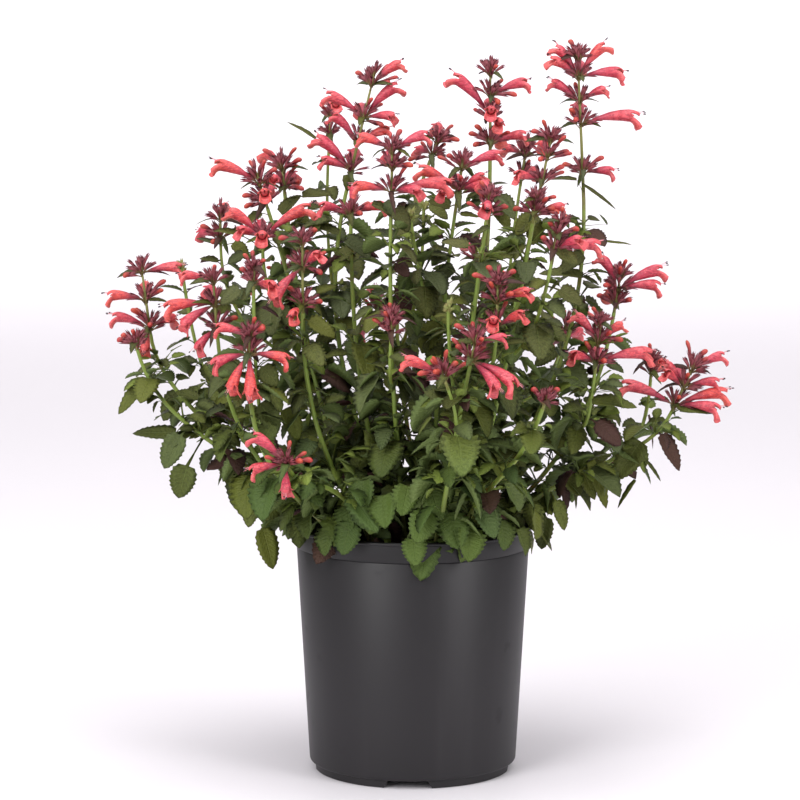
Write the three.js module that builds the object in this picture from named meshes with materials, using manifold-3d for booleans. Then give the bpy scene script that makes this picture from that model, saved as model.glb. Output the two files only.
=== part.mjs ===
// Potted agastache: a bushy flowering perennial in a round nursery pot.
// Millimetres, +Z up. The origin is the centre of the pot's foot, on the surface it stands on.
// The plant's front faces -Y.

import * as THREE from 'three';
import { mergeVertices } from 'three/addons/utils/BufferGeometryUtils.js';
import Module from 'manifold-3d';

const wasm = await Module();
wasm.setup();

// Pot
const RIM_RADIUS = 83.8;
const RIM_HEIGHT = 174.2;
const BAND_RADIUS = 83;
const BAND_BOTTOM = 160;
const WALL_TOP_RADIUS = 82;
const WALL_BOTTOM_RADIUS = 73.2;
const WALL = 1.7;
const FOOT_RADIUS = 69.6;
const FOOT_HEIGHT = 5.8;
const FLOOR = 2.2;
const POT_SIDES = 24;
const NOTCH = { width: 30, height: 5, count: 4, bearing: 267 };
const DRAIN_HOLE = { radius: 5, ring: 52 };

// Compost, with its surface a little under the rim
const SOIL_TOP = 161;
const SOIL_EDGE = 158;
const SOIL_GAP = 0.3;
const SOIL_SIDES = 16;

// Stems: square in section, rooted in holes in the compost
const ROOT_DEPTH = 9;
const ROOT_SHARE = 0.3;
const STEM_WIDTH = 4.4;
const STEM_END_WIDTH = 2.6;
const BRANCH_WIDTH = 2.6;
const BRANCH_END_WIDTH = 2.2;
const SEAT_GAP = 0.3;
const HOLE_PLAY = 0.9;
const STEM_STEP = 40;

// Leaves
const LEAF_SPACING = 54;
const LAST_PAIR = 0.88;
const UPPER_SHARE = 0.45;
const LEAF_LENGTH = 33;
const LEAF_THICKNESS = 1.5;
const LOW_DROOP = -62;
const HIGH_DROOP = -14;
const LOW_PETIOLE = 19;
const HIGH_PETIOLE = 4.5;
const ROOT_SINK = 0.4;
const BLADE_MIDDLE = 0.4;
// The turns up and sideways that a leaf tries, in degrees, until it is clear of the rest
const LEAF_TURNS = [[0, 0], [14, 0], [-14, 0], [0, 18], [0, -18], [24, 12], [-24, -12], [24, -24], [-24, 24],
  [40, 0], [-40, 0], [10, 40], [-10, -40]];

// Flowers
const RACHIS_WIDTH = 2.2;
const CALYX_FLARE = 0.34;
const CALYX_SPOKES = 8;
// How far a calyx points up, in radians, at its tip and in the gap beside it
const CALYX_RISE = { upper: { tip: 0.85, throat: 0.55 }, lower: { tip: 0.22, throat: -0.45 } };
const FLOWER_MIN = 21;
const FLOWER_WIDTH = 4.6;
const FLOWER_SINK = 0.07;
const BLOOM_BOW = 0.3;

// Each shoot is one smooth stem. "top" is where its flower head or leafy tip sits and "aim" the
// direction it points there. A shoot without "from" is rooted in the compost; one with "from" leaves
// the first shoot of its stem at that share of its length. A head gives its height, its whorls as
// [height, radius] and its flowers as [whorl, bearing, rise, reach] in degrees and millimetres.
const SHOOTS = [
  { stem: 'stem_01', head: 'head_01', top: [-185, 15, 307], aim: [-8, 0, 55],
    bend: [[-98, 9, 216], [-178, 13, 252]], tall: 55,
    whorls: [[6, 13], [25, 12], [45, 11]],
    blooms: [[0, 180, 14, 28], [0, 215, 42, 20], [0, 262, -45, 24], [1, 180, 5, 28], [1, 5, 45, 20],
      [2, 0, 5, 29], [2, 195, -12, 14], [1, 95, 15, 30], [0, 50, 8, 27]] },
  { stem: 'stem_02', head: 'head_02', top: [-190, -35, 301], aim: [-12, 0, 6],
    bend: [[-100, -19, 232], [-172, -36, 232]], tall: 12,
    whorls: [[6, 9]],
    blooms: [[0, 180, 8, 13], [0, 205, 30, 12]] },
  { stem: 'stem_03', head: 'head_03', top: [-134, -50, 314], aim: [-3, 0, 43], tall: 44,
    whorls: [[5, 12], [21, 12], [37, 10]],
    blooms: [[0, 225, -40, 24], [0, 0, 25, 16], [1, 183, -6, 36], [1, 208, -32, 30], [1, 5, 25, 14],
      [2, 180, 8, 22], [1, 100, 15, 30]] },
  { stem: 'stem_03', from: 0.45, top: [-167, 75, 350], aim: [-4, 3, 30] },
  { stem: 'stem_04', head: 'head_04', top: [-110, -95, 300], aim: [1, -1, 22], tall: 24,
    whorls: [[6, 13], [18, 9]],
    blooms: [[1, 182, 12, 24], [0, 195, -18, 28], [0, 222, -58, 31], [0, 275, -60, 34], [0, 0, -12, 28],
      [1, 20, 30, 12]] },
  { stem: 'stem_04', from: 0.66, top: [-108, -70, 346], aim: [0, 1, 20], tall: 20,
    whorls: [[6, 8], [15, 7]],
    blooms: [[0, 170, 45, 13]] },
  { stem: 'stem_05', head: 'head_05', top: [-82, -125, 230], aim: [-4, -3, 17],
    bend: [[-44, -66, 228], [-72, -112, 210]], tall: 18,
    whorls: [[7, 9]],
    blooms: [[0, 185, -12, 25], [0, 272, -55, 23], [0, 0, 8, 18], [0, 178, 40, 30]] },
  { stem: 'stem_06', head: 'head_06', top: [-93, 95, 403], aim: [-3, 0, 30], tall: 30,
    whorls: [[6, 12], [18, 11]],
    blooms: [[1, 180, 45, 20], [0, 250, 12, 24], [0, 0, 12, 12], [0, 80, 10, 30], [1, 120, 20, 28]] },
  { stem: 'stem_06', from: 0.5, head: 'head_07', top: [-139, 80, 367], aim: [0, 0, 30], tall: 30,
    whorls: [[5, 11], [18, 10]],
    blooms: [[0, 180, 30, 17], [0, 0, 22, 17], [0, 240, -18, 12], [1, 85, 15, 28], [0, 130, 5, 26]] },
  { stem: 'stem_07', head: 'head_08', top: [-103, 40, 394], aim: [-10, 0, 32], tall: 34,
    whorls: [[7, 12], [20, 12]],
    blooms: [[1, 181, 22, 36], [0, 195, 12, 17], [0, 272, 15, 24], [1, 0, 40, 16], [0, 85, 15, 29]] },
  { stem: 'stem_07', from: 0.62, head: 'head_09', top: [-105, 0, 370], aim: [0, -2, 15], tall: 16,
    whorls: [[7, 13]],
    blooms: [[0, 180, 38, 31], [0, 222, 15, 23], [0, 272, 4, 26], [0, 0, 31, 42], [0, 95, 25, 22]] },
  { stem: 'stem_08', head: 'head_10', top: [-75, -65, 329], aim: [0, 0, 55], tall: 55,
    whorls: [[7, 11], [33, 12], [50, 9]],
    blooms: [[2, 20, 38, 13], [1, 205, -48, 33], [0, 165, 48, 16], [0, 350, 8, 14], [1, 345, -20, 15]] },
  { stem: 'stem_09', head: 'head_11', top: [-46, 70, 412], aim: [21, 2, 87], tall: 88,
    whorls: [[9, 14], [30, 13], [48, 13], [72, 12]],
    blooms: [[3, 170, 38, 15], [3, 0, 35, 27], [3, 350, 5, 14], [2, 180, 30, 33], [2, 5, 42, 35],
      [2, 335, 0, 25], [1, 180, 45, 27], [1, 0, 20, 25], [0, 180, 42, 36], [0, 195, 18, 24],
      [0, 85, 20, 34], [2, 95, 10, 32]] },
  { stem: 'stem_09', from: 0.55, head: 'head_12', top: [-61, 125, 440], aim: [1, 0, 14], tall: 27,
    whorls: [[6, 8], [18, 9]],
    blooms: [[1, 90, 25, 26], [1, 60, 55, 14]] },
  { stem: 'stem_10', head: 'head_13', top: [-43, -20, 388], aim: [0, 0, 14], tall: 16,
    whorls: [[7, 12]],
    blooms: [[0, 200, 12, 24], [0, 15, 25, 16], [0, 352, 12, 25], [0, 75, 58, 22]] },
  { stem: 'stem_11', head: 'head_14', top: [-15, -50, 403], aim: [1, 0, 43], tall: 44,
    whorls: [[9, 14], [25, 13], [37, 9]],
    blooms: [[2, 180, 20, 25], [2, 45, 58, 16], [2, 0, 22, 27], [1, 315, 5, 20], [0, 183, 5, 27],
      [0, 0, 5, 43], [0, 322, 0, 25], [1, 95, 15, 28]] },
  { stem: 'stem_11', from: 0.5, top: [-15, -110, 317], aim: [1, -1, 19], tall: 20,
    whorls: [[6, 8], [14, 8]],
    blooms: [[0, 20, 50, 11]] },
  { stem: 'stem_12', head: 'head_15', top: [13, 115, 425], aim: [8, 0, 20], tall: 24,
    whorls: [[6, 9], [17, 10]],
    blooms: [[1, 90, 20, 27], [0, 120, 5, 22]] },
  { stem: 'stem_12', from: 0.5, top: [8, 55, 396], aim: [0, 0, 20] },
  { stem: 'stem_13', head: 'head_16', top: [31, 0, 404], aim: [5, 0, 33], tall: 35,
    whorls: [[6, 13], [22, 12]],
    blooms: [[1, 180, 40, 14], [1, 0, 18, 29], [0, 181, 27, 33], [0, 225, 45, 12], [0, 345, 28, 22],
      [0, 325, 8, 24], [0, 90, 15, 27]] },
  { stem: 'stem_13', from: 0.62, top: [-2, -10, 392], aim: [-3, -2, 20] },
  { stem: 'stem_14', head: 'head_17', top: [55, 45, 434], aim: [0, 0, 66], tall: 67,
    whorls: [[7, 13], [26, 14], [41, 12], [56, 10]],
    blooms: [[2, 5, 18, 29], [2, 340, 0, 20], [1, 180, 46, 41], [1, 270, 10, 24], [0, 185, 50, 17],
      [0, 175, 25, 17], [0, 0, 12, 27], [0, 215, -5, 15], [1, 90, 15, 33], [0, 75, 5, 30]] },
  { stem: 'stem_15', head: 'head_18', top: [49, -75, 392], aim: [3, 0, 22], tall: 24,
    whorls: [[6, 10], [17, 9]],
    blooms: [[0, 165, 68, 18], [0, 0, 20, 15], [1, 100, 20, 24]] },
  { stem: 'stem_15', from: 0.5, head: 'head_19', top: [55, -112, 322], aim: [1, -2, 40], tall: 41,
    whorls: [[5, 11], [21, 11], [32, 8]],
    blooms: [[0, 262, 8, 24], [1, 340, 14, 24], [2, 170, 58, 14], [2, 15, 35, 15], [0, 20, 10, 14]] },
  { stem: 'stem_16', head: 'head_20', top: [122, 55, 409], aim: [-5, 0, 100], tall: 100,
    whorls: [[11, 13], [46, 14], [62, 13], [79, 13], [93, 10]],
    blooms: [[3, 185, 50, 28], [3, 200, 28, 26], [3, 10, 48, 31], [3, 0, 3, 33], [2, 180, 32, 25],
      [2, 345, 22, 21], [1, 235, 35, 18], [1, 255, 8, 20], [1, 0, 5, 44], [0, 185, 22, 16],
      [0, 10, 35, 19], [0, 348, 0, 23], [1, 90, 20, 34], [3, 85, 15, 30], [4, 150, 60, 14]] },
  { stem: 'stem_17', head: 'head_21', top: [86, -14, 401], aim: [11, 0, 52], tall: 53,
    whorls: [[16, 13], [34, 12], [46, 9]],
    blooms: [[2, 180, 22, 15], [0, 0, 35, 19], [0, 208, 12, 23], [1, 10, 10, 16], [1, 95, 15, 29]] },
  { stem: 'stem_17', from: 0.5, head: 'head_22', top: [79, 100, 409], aim: [5, 0, 33], tall: 34,
    whorls: [[6, 10], [22, 11]],
    blooms: [[1, 85, 20, 29], [1, 130, 10, 22], [0, 70, 5, 27]] },
  { stem: 'stem_18', head: 'head_23', top: [81, -60, 390], aim: [3, -4, 19], tall: 22,
    whorls: [[8, 13], [17, 9]],
    blooms: [[0, 335, 14, 15], [0, 0, 10, 21], [0, 180, 10, 15]] },
  { stem: 'stem_18', from: 0.6, head: 'head_24', top: [92, -102, 367], aim: [6, 0, 30], tall: 33,
    whorls: [[8, 12], [19, 9], [28, 7]],
    blooms: [[0, 0, 6, 32], [0, 322, 20, 24], [0, 170, 48, 13], [1, 0, 15, 15]] },
  { stem: 'stem_19', head: 'head_25', top: [143, 30, 321], aim: [5, 0, 31], tall: 33,
    whorls: [[7, 12], [18, 12], [27, 9]],
    blooms: [[1, 172, 60, 26], [0, 185, 25, 15], [1, 5, 22, 36], [1, 0, 2, 31], [0, 330, 15, 13],
      [0, 95, 10, 28]] },
  { stem: 'stem_19', from: 0.55, head: 'head_26', top: [124, -60, 289], aim: [4, 0, 38], tall: 40,
    whorls: [[7, 14], [21, 12], [34, 8]],
    blooms: [[0, 215, 14, 24], [0, 0, 8, 40], [1, 176, 48, 25], [1, 10, 34, 21], [1, 350, 5, 17],
      [0, 85, 10, 26]] },
  { stem: 'stem_20', head: 'head_27', top: [37, -136, 301], aim: [5, -3, 24], tall: 27,
    whorls: [[5, 12], [17, 12]],
    blooms: [[0, 320, -42, 30], [0, 342, -30, 37], [0, 172, 42, 14], [1, 176, 40, 18], [1, 0, 6, 21]] },
  { stem: 'stem_20', from: 0.55, head: 'head_28', top: [22, -148, 288], aim: [-8, -2, 20], tall: 20,
    whorls: [[8, 12]],
    blooms: [[0, 182, 24, 29], [0, 210, 10, 20], [0, 0, 48, 14]] },
  { stem: 'stem_21', head: 'head_29', top: [181, -10, 255], aim: [12, 0, 42],
    bend: [[88, -5, 222], [160, -10, 210]], tall: 44,
    whorls: [[6, 11], [21, 13], [34, 11]],
    blooms: [[0, 180, 20, 42], [0, 2, 12, 39], [0, 345, -6, 33], [1, 172, 48, 21], [1, 0, 4, 25],
      [2, 10, 52, 17], [2, 0, 22, 25], [1, 95, 15, 29]] },
  { stem: 'stem_21', from: 0.4, head: 'head_30', top: [174, 85, 267], aim: [1, 1, 18], tall: 20,
    whorls: [[6, 9], [14, 8]],
    blooms: [[0, 175, 60, 14], [0, 0, 40, 14], [0, 80, 15, 26]] },
  { stem: 'stem_22', top: [85, -132, 272], aim: [5, -3, 14],
    bend: [[44, -70, 222], [66, -114, 214]], tall: 16,
    whorls: [[6, 8]],
    blooms: [[0, 175, 45, 13], [0, 0, 45, 13]] },
  { stem: 'stem_22', from: 0.45, top: [23, -112, 338], aim: [0, -2, 20] },
  { stem: 'stem_23', head: 'head_31', top: [-91, 127, 320], aim: [-4, 4, 30], tall: 32,
    whorls: [[6, 12], [20, 11]],
    blooms: [[0, 90, 10, 32], [0, 170, 15, 30], [1, 60, 30, 24], [1, 130, 20, 18]] },
  { stem: 'stem_23', from: 0.5, head: 'head_32', top: [-28, 138, 296], aim: [2, 5, 30], tall: 30,
    whorls: [[6, 12], [19, 10]],
    blooms: [[0, 75, 5, 34], [0, 120, -20, 28], [1, 95, 40, 22]] },
  { stem: 'stem_24', head: 'head_33', top: [46, 136, 330], aim: [3, 4, 36], tall: 38,
    whorls: [[6, 13], [22, 12]],
    blooms: [[0, 85, 12, 33], [0, 30, 5, 28], [1, 110, 25, 28], [1, 60, 10, 18]] },
  { stem: 'stem_24', from: 0.5, head: 'head_34', top: [110, 122, 286], aim: [7, 6, 26], tall: 28,
    whorls: [[6, 12], [18, 10]],
    blooms: [[0, 60, 8, 32], [0, 110, -10, 28], [1, 20, 30, 22]] },
];

// Colours and finishes
const charcoalPlastic = new THREE.MeshStandardMaterial({ color: 0x3c3b3e, roughness: 0.5, metalness: 0 });
const compost = new THREE.MeshStandardMaterial({ color: 0x33261d, roughness: 0.95, metalness: 0 });
const foliage = new THREE.MeshStandardMaterial({ color: 0x4d6b39, roughness: 0.7, metalness: 0 });
const coral = new THREE.MeshStandardMaterial({ color: 0xe4605c, roughness: 0.6, metalness: 0 });
const plum = new THREE.MeshStandardMaterial({ color: 0x7a3443, roughness: 0.65, metalness: 0 });

// A repeatable draw between 0 and 1
function seededDraw(seed) {
  let state = seed >>> 0;
  return () => {
    state = (Math.imul(state, 1664525) + 1013904223) >>> 0;
    return state / 4294967296;
  };
}

const radians = (degrees) => degrees * Math.PI / 180;
const mix = (a, b, share) => a + (b - a) * share;
const mixPoint = (a, b, share) => a.clone().lerp(b, share);

function direction(bearing, rise) {
  const flat = Math.cos(radians(rise));
  const x = flat * Math.cos(radians(bearing));
  const y = flat * Math.sin(radians(bearing));
  return new THREE.Vector3(x, y, Math.sin(radians(rise)));
}

// Closed geometry to solid and back
function solid(geometry) {
  const bare = new THREE.BufferGeometry();
  bare.setAttribute('position', geometry.getAttribute('position').clone());
  if (geometry.index) bare.setIndex(geometry.index.clone());
  const merged = mergeVertices(bare, 1e-4);
  return new wasm.Manifold(new wasm.Mesh({
    numProp: 3,
    vertProperties: new Float32Array(merged.getAttribute('position').array),
    triVerts: new Uint32Array(merged.index.array),
  }));
}

function join(solids) {
  return wasm.Manifold.union(solids).simplify(0.02);
}

function geometryOf(body) {
  const mesh = body.getMesh();
  const geometry = new THREE.BufferGeometry();
  geometry.setAttribute('position', new THREE.BufferAttribute(new Float32Array(mesh.vertProperties), 3));
  geometry.setIndex(new THREE.BufferAttribute(new Uint32Array(mesh.triVerts), 1));
  geometry.computeVertexNormals();
  return geometry;
}

function named(name, body, material) {
  const mesh = new THREE.Mesh(geometryOf(body), material);
  mesh.name = name;
  return mesh;
}

// Gives every vertex of a geometry a new place; vertices that share a place move together
function reshape(geometry, place) {
  const positions = geometry.getAttribute('position');
  const at = new THREE.Vector3();
  for (let i = 0; i < positions.count; i += 1) {
    at.fromBufferAttribute(positions, i);
    const moved = place(at);
    positions.setXYZ(i, moved.x, moved.y, moved.z);
  }
  return geometry;
}

// Which of a sphere's columns a vertex is on, counted from its seam
function column(at, count) {
  return Math.round((Math.atan2(at.z, at.x) / Math.PI - 1) / 2 * count + count) % count;
}

// A square stalk along a curve, tapering from one width to another
function stalk(curve, steps, width, endWidth) {
  const half = width / 2;
  const section = new THREE.Shape([
    new THREE.Vector2(-half, -half), new THREE.Vector2(half, -half),
    new THREE.Vector2(half, half), new THREE.Vector2(-half, half)]);
  const centres = curve.getSpacedPoints(steps);
  const tube = new THREE.ExtrudeGeometry(section, { steps, extrudePath: curve, bevelEnabled: false });
  return solid(reshape(tube, (at) => {
    let nearest = 0;
    for (let i = 1; i <= steps; i += 1) {
      if (at.distanceTo(centres[i]) < at.distanceTo(centres[nearest])) nearest = i;
    }
    const scale = mix(1, endWidth / width, nearest / steps);
    return at.clone().sub(centres[nearest]).multiplyScalar(scale).add(centres[nearest]);
  }));
}

const stemSteps = (curve) => Math.max(3, Math.round(curve.getLength() / STEM_STEP));

// A point on the straight stretches that a stalk is made of
function onStalk(curve, share) {
  const steps = stemSteps(curve);
  const step = Math.min(steps - 1, Math.floor(share * steps));
  return mixPoint(curve.getPointAt(step / steps), curve.getPointAt((step + 1) / steps), share * steps - step);
}

// The curve of a shoot: out of the compost or its parent stem, and into its aim at the top
function shootCurve(shoot, parent) {
  const top = new THREE.Vector3(...shoot.top);
  const aim = new THREE.Vector3(...shoot.aim).normalize();
  const start = parent
    ? onStalk(parent, shoot.from)
    : new THREE.Vector3(top.x * ROOT_SHARE, top.y * ROOT_SHARE, SOIL_TOP - ROOT_DEPTH);
  const span = top.clone().sub(start);
  if (shoot.bend) {
    return new THREE.CubicBezierCurve3(
      start, new THREE.Vector3(...shoot.bend[0]), new THREE.Vector3(...shoot.bend[1]), top);
  }
  const lift = parent ? 0.25 : 0.3;
  const spread = parent ? 0.55 : 0.45;
  const leave = start.clone().add(new THREE.Vector3(span.x * spread, span.y * spread, span.z * lift));
  const arrive = top.clone().addScaledVector(aim, -0.48 * span.length());
  return new THREE.CubicBezierCurve3(start, leave, arrive, top);
}

// Half outline of a leaf as [share of length, share of width], from the stalk to the last tooth
const BROAD_EDGE = [[0, 0.1], [0.05, 0.84], [0.36, 1], [0.42, 0.78], [0.72, 0.62]];
const UPPER_EDGE = [[0.02, 0.16], [0.3, 1], [0.37, 0.76], [0.68, 0.62]];

// A toothed leaf: a sphere of two fans drawn out to the leaf's edge, its root sunk in the stem
function leafSolid(leaf, [tilt, swing], swell) {
  const bearing = leaf.bearing + swing;
  const forward = direction(bearing, leaf.rise + tilt);
  const side = direction(bearing - 90, 0).applyAxisAngle(forward, radians(leaf.roll));
  const up = side.clone().cross(forward);
  const base = leaf.at.clone().addScaledVector(direction(bearing, leaf.rise / 2 + 34), leaf.petiole);
  const edge = leaf.share > UPPER_SHARE ? UPPER_EDGE : BROAD_EDGE;
  const corners = 2 * edge.length + 2;
  const place = (along, across, lift) => base.clone()
    .addScaledVector(forward, along * leaf.length)
    .addScaledVector(side, across * leaf.width / 2)
    .addScaledVector(up, lift - leaf.arch * along * along * leaf.length);
  // The neck lies on the way from the root to the blade's middle, so that the blade's faces don't cross
  const root = mixPoint(leaf.at, base, ROOT_SINK / leaf.petiole);
  const middle = BLADE_MIDDLE * leaf.length;
  const stretch = root.clone().sub(base);
  const neck = stretch.dot(side) * middle / (middle - stretch.dot(forward)) / (leaf.width / 2);
  const disc = new THREE.SphereGeometry(1, corners, 2);
  return solid(reshape(disc, (at) => {
    if (Math.abs(at.y) > 0.5) return place(BLADE_MIDDLE, 0, Math.sign(at.y) * (LEAF_THICKNESS / 2 + swell));
    const corner = column(at, corners);
    if (corner === 0) return place(1 + swell * 0.03, 0, 0);
    if (corner === corners / 2) return root;
    const right = corner < corners / 2;
    const step = right ? edge.length - corner : corner - corners / 2 - 1;
    const across = (right ? 1 : -1) * edge[step][1] * (1 + swell * 0.05);
    return place(edge[step][0], across + (step === 0 ? neck : 0), 0);
  }));
}

// The leaf pairs of a shoot, each pair turned a quarter round from the one below it
function leavesOf(shoot, curve, draw) {
  const first = shoot.from ? 0.5 : 0.15;
  const pairs = shoot.from ? 1 : Math.max(3, Math.round(curve.getLength() / LEAF_SPACING));
  const phase = draw() * 180;
  const leaves = [];
  for (let pair = 0; pair < pairs; pair += 1) {
    const share = mix(first, LAST_PAIR, pair / Math.max(1, pairs - 1));
    for (const turn of [0, 180]) {
      const length = LEAF_LENGTH * (1 - 0.3 * share ** 3) * mix(0.85, 1.12, draw());
      leaves.push({
        at: onStalk(curve, share), share, length,
        bearing: phase + pair * 90 + turn + mix(-18, 18, draw()),
        rise: mix(LOW_DROOP, HIGH_DROOP, share) + mix(-16, 16, draw()),
        roll: mix(-24, 24, draw()),
        width: length * mix(0.9, 0.64, share),
        petiole: mix(LOW_PETIOLE, HIGH_PETIOLE, share),
        arch: mix(0.26, 0.16, share),
      });
    }
  }
  return leaves;
}

// The rings of a head from its foot up: the foot, then two rings of calyces for each whorl, with a
// slender neck between whorls
function headRings(shoot) {
  const rings = [{ distance: 0, radius: RACHIS_WIDTH / 2 }];
  shoot.whorls.forEach(([distance, radius], whorl) => {
    if (whorl > 0) {
      const below = shoot.whorls[whorl - 1][0];
      rings.push({ distance: mix(below, distance, 0.62), radius: RACHIS_WIDTH / 2 });
    }
    rings.push({ distance, radius, whorl, upper: false }, { distance, radius, whorl, upper: true });
  });
  return rings;
}

// The way of one flower or bud: out from its whorl along a slightly bowed line
function bloomFrame(centre, [, bearing, rise, reach]) {
  const forward = direction(bearing, rise);
  const side = direction(bearing - 90, 0);
  const up = side.clone().cross(forward);
  const along = (share) => centre.clone()
    .addScaledVector(forward, share * reach)
    .addScaledVector(up, BLOOM_BOW * reach * share * (1 - share));
  return { side, up, along };
}

// The rachis with its whorls of calyces and closed buds: a sphere whose rings follow the rachis, with
// every other point of a whorl's rings drawn out to a calyx, and the nearest one to each bud
function spikeSolid(shoot, height, up, draw) {
  const rings = headRings(shoot);
  const turns = shoot.whorls.map(() => draw() * 2 * Math.PI);
  const upright = new THREE.Quaternion().setFromUnitVectors(new THREE.Vector3(0, 1, 0), up);
  const outward = (spoke, turn, rise) => {
    const around = spoke / CALYX_SPOKES * 2 * Math.PI + turn;
    const flat = Math.cos(rise);
    const way = new THREE.Vector3(flat * Math.cos(around), Math.sin(rise), flat * Math.sin(around));
    return way.applyQuaternion(upright);
  };
  const budAt = new Map();
  for (const bloom of shoot.blooms.filter(([, , , reach]) => reach < FLOWER_MIN)) {
    const [whorl, bearing, rise] = bloom;
    const upper = rise > 30;
    let best = upper ? 0 : 1;
    const near = (spoke) => outward(spoke, turns[whorl], 0).dot(direction(bearing, 0));
    for (let spoke = best; spoke < CALYX_SPOKES; spoke += 2) {
      if (near(spoke) > near(best)) best = spoke;
    }
    budAt.set(`${whorl} ${upper} ${best}`, bloomFrame(height(shoot.whorls[whorl][0]), bloom).along(1));
  }
  const last = rings.length + 1;
  const form = new THREE.SphereGeometry(1, CALYX_SPOKES, last);
  return solid(reshape(form, (at) => {
    const level = last - Math.round(Math.acos(THREE.MathUtils.clamp(at.y, -1, 1)) / Math.PI * last);
    if (level === 0) return height(0);
    if (level === last) return height(shoot.tall);
    const { distance, radius, whorl, upper } = rings[level - 1];
    const spoke = column(at, CALYX_SPOKES);
    if (whorl === undefined) return height(distance).addScaledVector(outward(spoke, turns[0], 0), radius);
    const drawn = (spoke % 2 === 0) === upper;
    const bud = budAt.get(`${whorl} ${upper} ${spoke}`);
    if (drawn && bud) return bud;
    const rise = CALYX_RISE[upper ? 'upper' : 'lower'][drawn ? 'tip' : 'throat'];
    const reach = radius * (drawn ? 1 : CALYX_FLARE);
    return height(distance).addScaledVector(outward(spoke, turns[whorl], rise), reach);
  }));
}

// An open flower: a three-sided tube widening to a mouth, its upper lip ahead of its broad lower lip
function flowerSolid(centre, bloom) {
  const { side, up, along } = bloomFrame(centre, bloom);
  const trumpet = new THREE.SphereGeometry(1, 3, 3);
  const corner = [[0, 1], [-1, -0.7], [1, -0.7]];
  return solid(reshape(trumpet, (at) => {
    if (at.y < -0.9) return along(FLOWER_SINK);
    if (at.y > 0.9) return along(0.76);
    const [across, over] = corner[column(at, 3)];
    const upperLip = over > 0;
    if (at.y < 0) return along(0.42).addScaledVector(side, across * 1.9).addScaledVector(up, over * 1.9);
    return along(upperLip ? 1 : 0.9)
      .addScaledVector(side, across * FLOWER_WIDTH)
      .addScaledVector(up, over * (upperLip ? 2 : 6));
  }));
}

// A flower head on the end of its shoot, as the solids it is joined from
function headSolids(shoot, curve, gap, draw) {
  const up = curve.getTangentAt(1);
  const foot = curve.getPointAt(1).addScaledVector(up, gap);
  const height = (distance) => foot.clone().addScaledVector(up, distance);
  const pieces = [spikeSolid(shoot, height, up, draw)];
  for (const bloom of shoot.blooms) {
    if (bloom[3] >= FLOWER_MIN) pieces.push(flowerSolid(height(shoot.whorls[bloom[0]][0]), bloom));
  }
  return pieces;
}

// Pot: one moulded wall with a foot ring, a band and a lip at the rim
function potProfile() {
  return [
    [0, FOOT_HEIGHT], [FOOT_RADIUS - 3.4, FOOT_HEIGHT], [FOOT_RADIUS - 3, 0], [FOOT_RADIUS, 0],
    [FOOT_RADIUS + 0.3, FOOT_HEIGHT], [WALL_BOTTOM_RADIUS, FOOT_HEIGHT + 1.8],
    [WALL_TOP_RADIUS, BAND_BOTTOM - 1], [BAND_RADIUS, BAND_BOTTOM], [BAND_RADIUS + 0.2, RIM_HEIGHT - 3.5],
    [RIM_RADIUS, RIM_HEIGHT - 2.8], [RIM_RADIUS - 0.3, RIM_HEIGHT], [RIM_RADIUS - 2.4, RIM_HEIGHT],
    [WALL_BOTTOM_RADIUS - WALL, FOOT_HEIGHT + FLOOR], [0, FOOT_HEIGHT + FLOOR],
  ];
}

function lathe(profile, sides) {
  const points = profile.map(([radius, height]) => new THREE.Vector2(radius, height));
  return solid(new THREE.LatheGeometry(points, sides).rotateX(Math.PI / 2));
}

function potSolid() {
  const cuts = [];
  for (let i = 0; i < NOTCH.count; i += 1) {
    const bearing = radians(NOTCH.bearing + i * 360 / NOTCH.count);
    const notch = new THREE.CylinderGeometry(NOTCH.width / 2, NOTCH.width / 2 + 5, NOTCH.height * 2, 4, 1);
    notch.rotateY(Math.PI / 4).rotateX(Math.PI / 2).rotateZ(bearing);
    notch.translate(Math.cos(bearing) * FOOT_RADIUS, Math.sin(bearing) * FOOT_RADIUS, 0);
    cuts.push(solid(notch));
    const hole = new THREE.CylinderGeometry(DRAIN_HOLE.radius, DRAIN_HOLE.radius, 6 * FLOOR, 8);
    hole.rotateX(Math.PI / 2);
    hole.translate(Math.cos(bearing) * DRAIN_HOLE.ring, Math.sin(bearing) * DRAIN_HOLE.ring, FOOT_HEIGHT);
    cuts.push(solid(hole));
  }
  return lathe(potProfile(), POT_SIDES).subtract(join(cuts));
}

function soilBlank() {
  const floor = FOOT_HEIGHT + FLOOR + SOIL_GAP;
  const clear = WALL + SOIL_GAP + 0.5;
  return lathe([
    [0, floor], [WALL_BOTTOM_RADIUS - clear, floor], [WALL_TOP_RADIUS - clear - 0.2, SOIL_EDGE],
    [WALL_TOP_RADIUS * 0.6, SOIL_TOP - 1], [0, SOIL_TOP]], SOIL_SIDES);
}

// The stems and heads, with the leaves still to be placed
function buildPlant() {
  const stems = new Map();
  const heads = [];
  SHOOTS.forEach((shoot, index) => {
    const draw = seededDraw(7919 * (index + 1));
    if (!stems.has(shoot.stem)) stems.set(shoot.stem, { stalks: [], minors: [], leaves: [], blades: [] });
    const stem = stems.get(shoot.stem);
    const curve = shootCurve(shoot, shoot.from ? stem.curve : null);
    if (!shoot.from) stem.curve = curve;
    const width = shoot.from ? BRANCH_WIDTH : STEM_WIDTH;
    stem.stalks.push(stalk(curve, stemSteps(curve), width, shoot.from ? BRANCH_END_WIDTH : STEM_END_WIDTH));
    if (shoot.whorls) {
      const pieces = headSolids(shoot, curve, shoot.head ? SEAT_GAP : -1.5, draw);
      if (shoot.head) heads.push({ name: shoot.head, body: join(pieces), dark: shoot.blooms.length < 3 });
      else stem.minors.push(join(pieces));
    }
    for (const leaf of leavesOf(shoot, curve, draw)) stem.leaves.push(leaf);
  });
  return { stems, heads };
}

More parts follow.
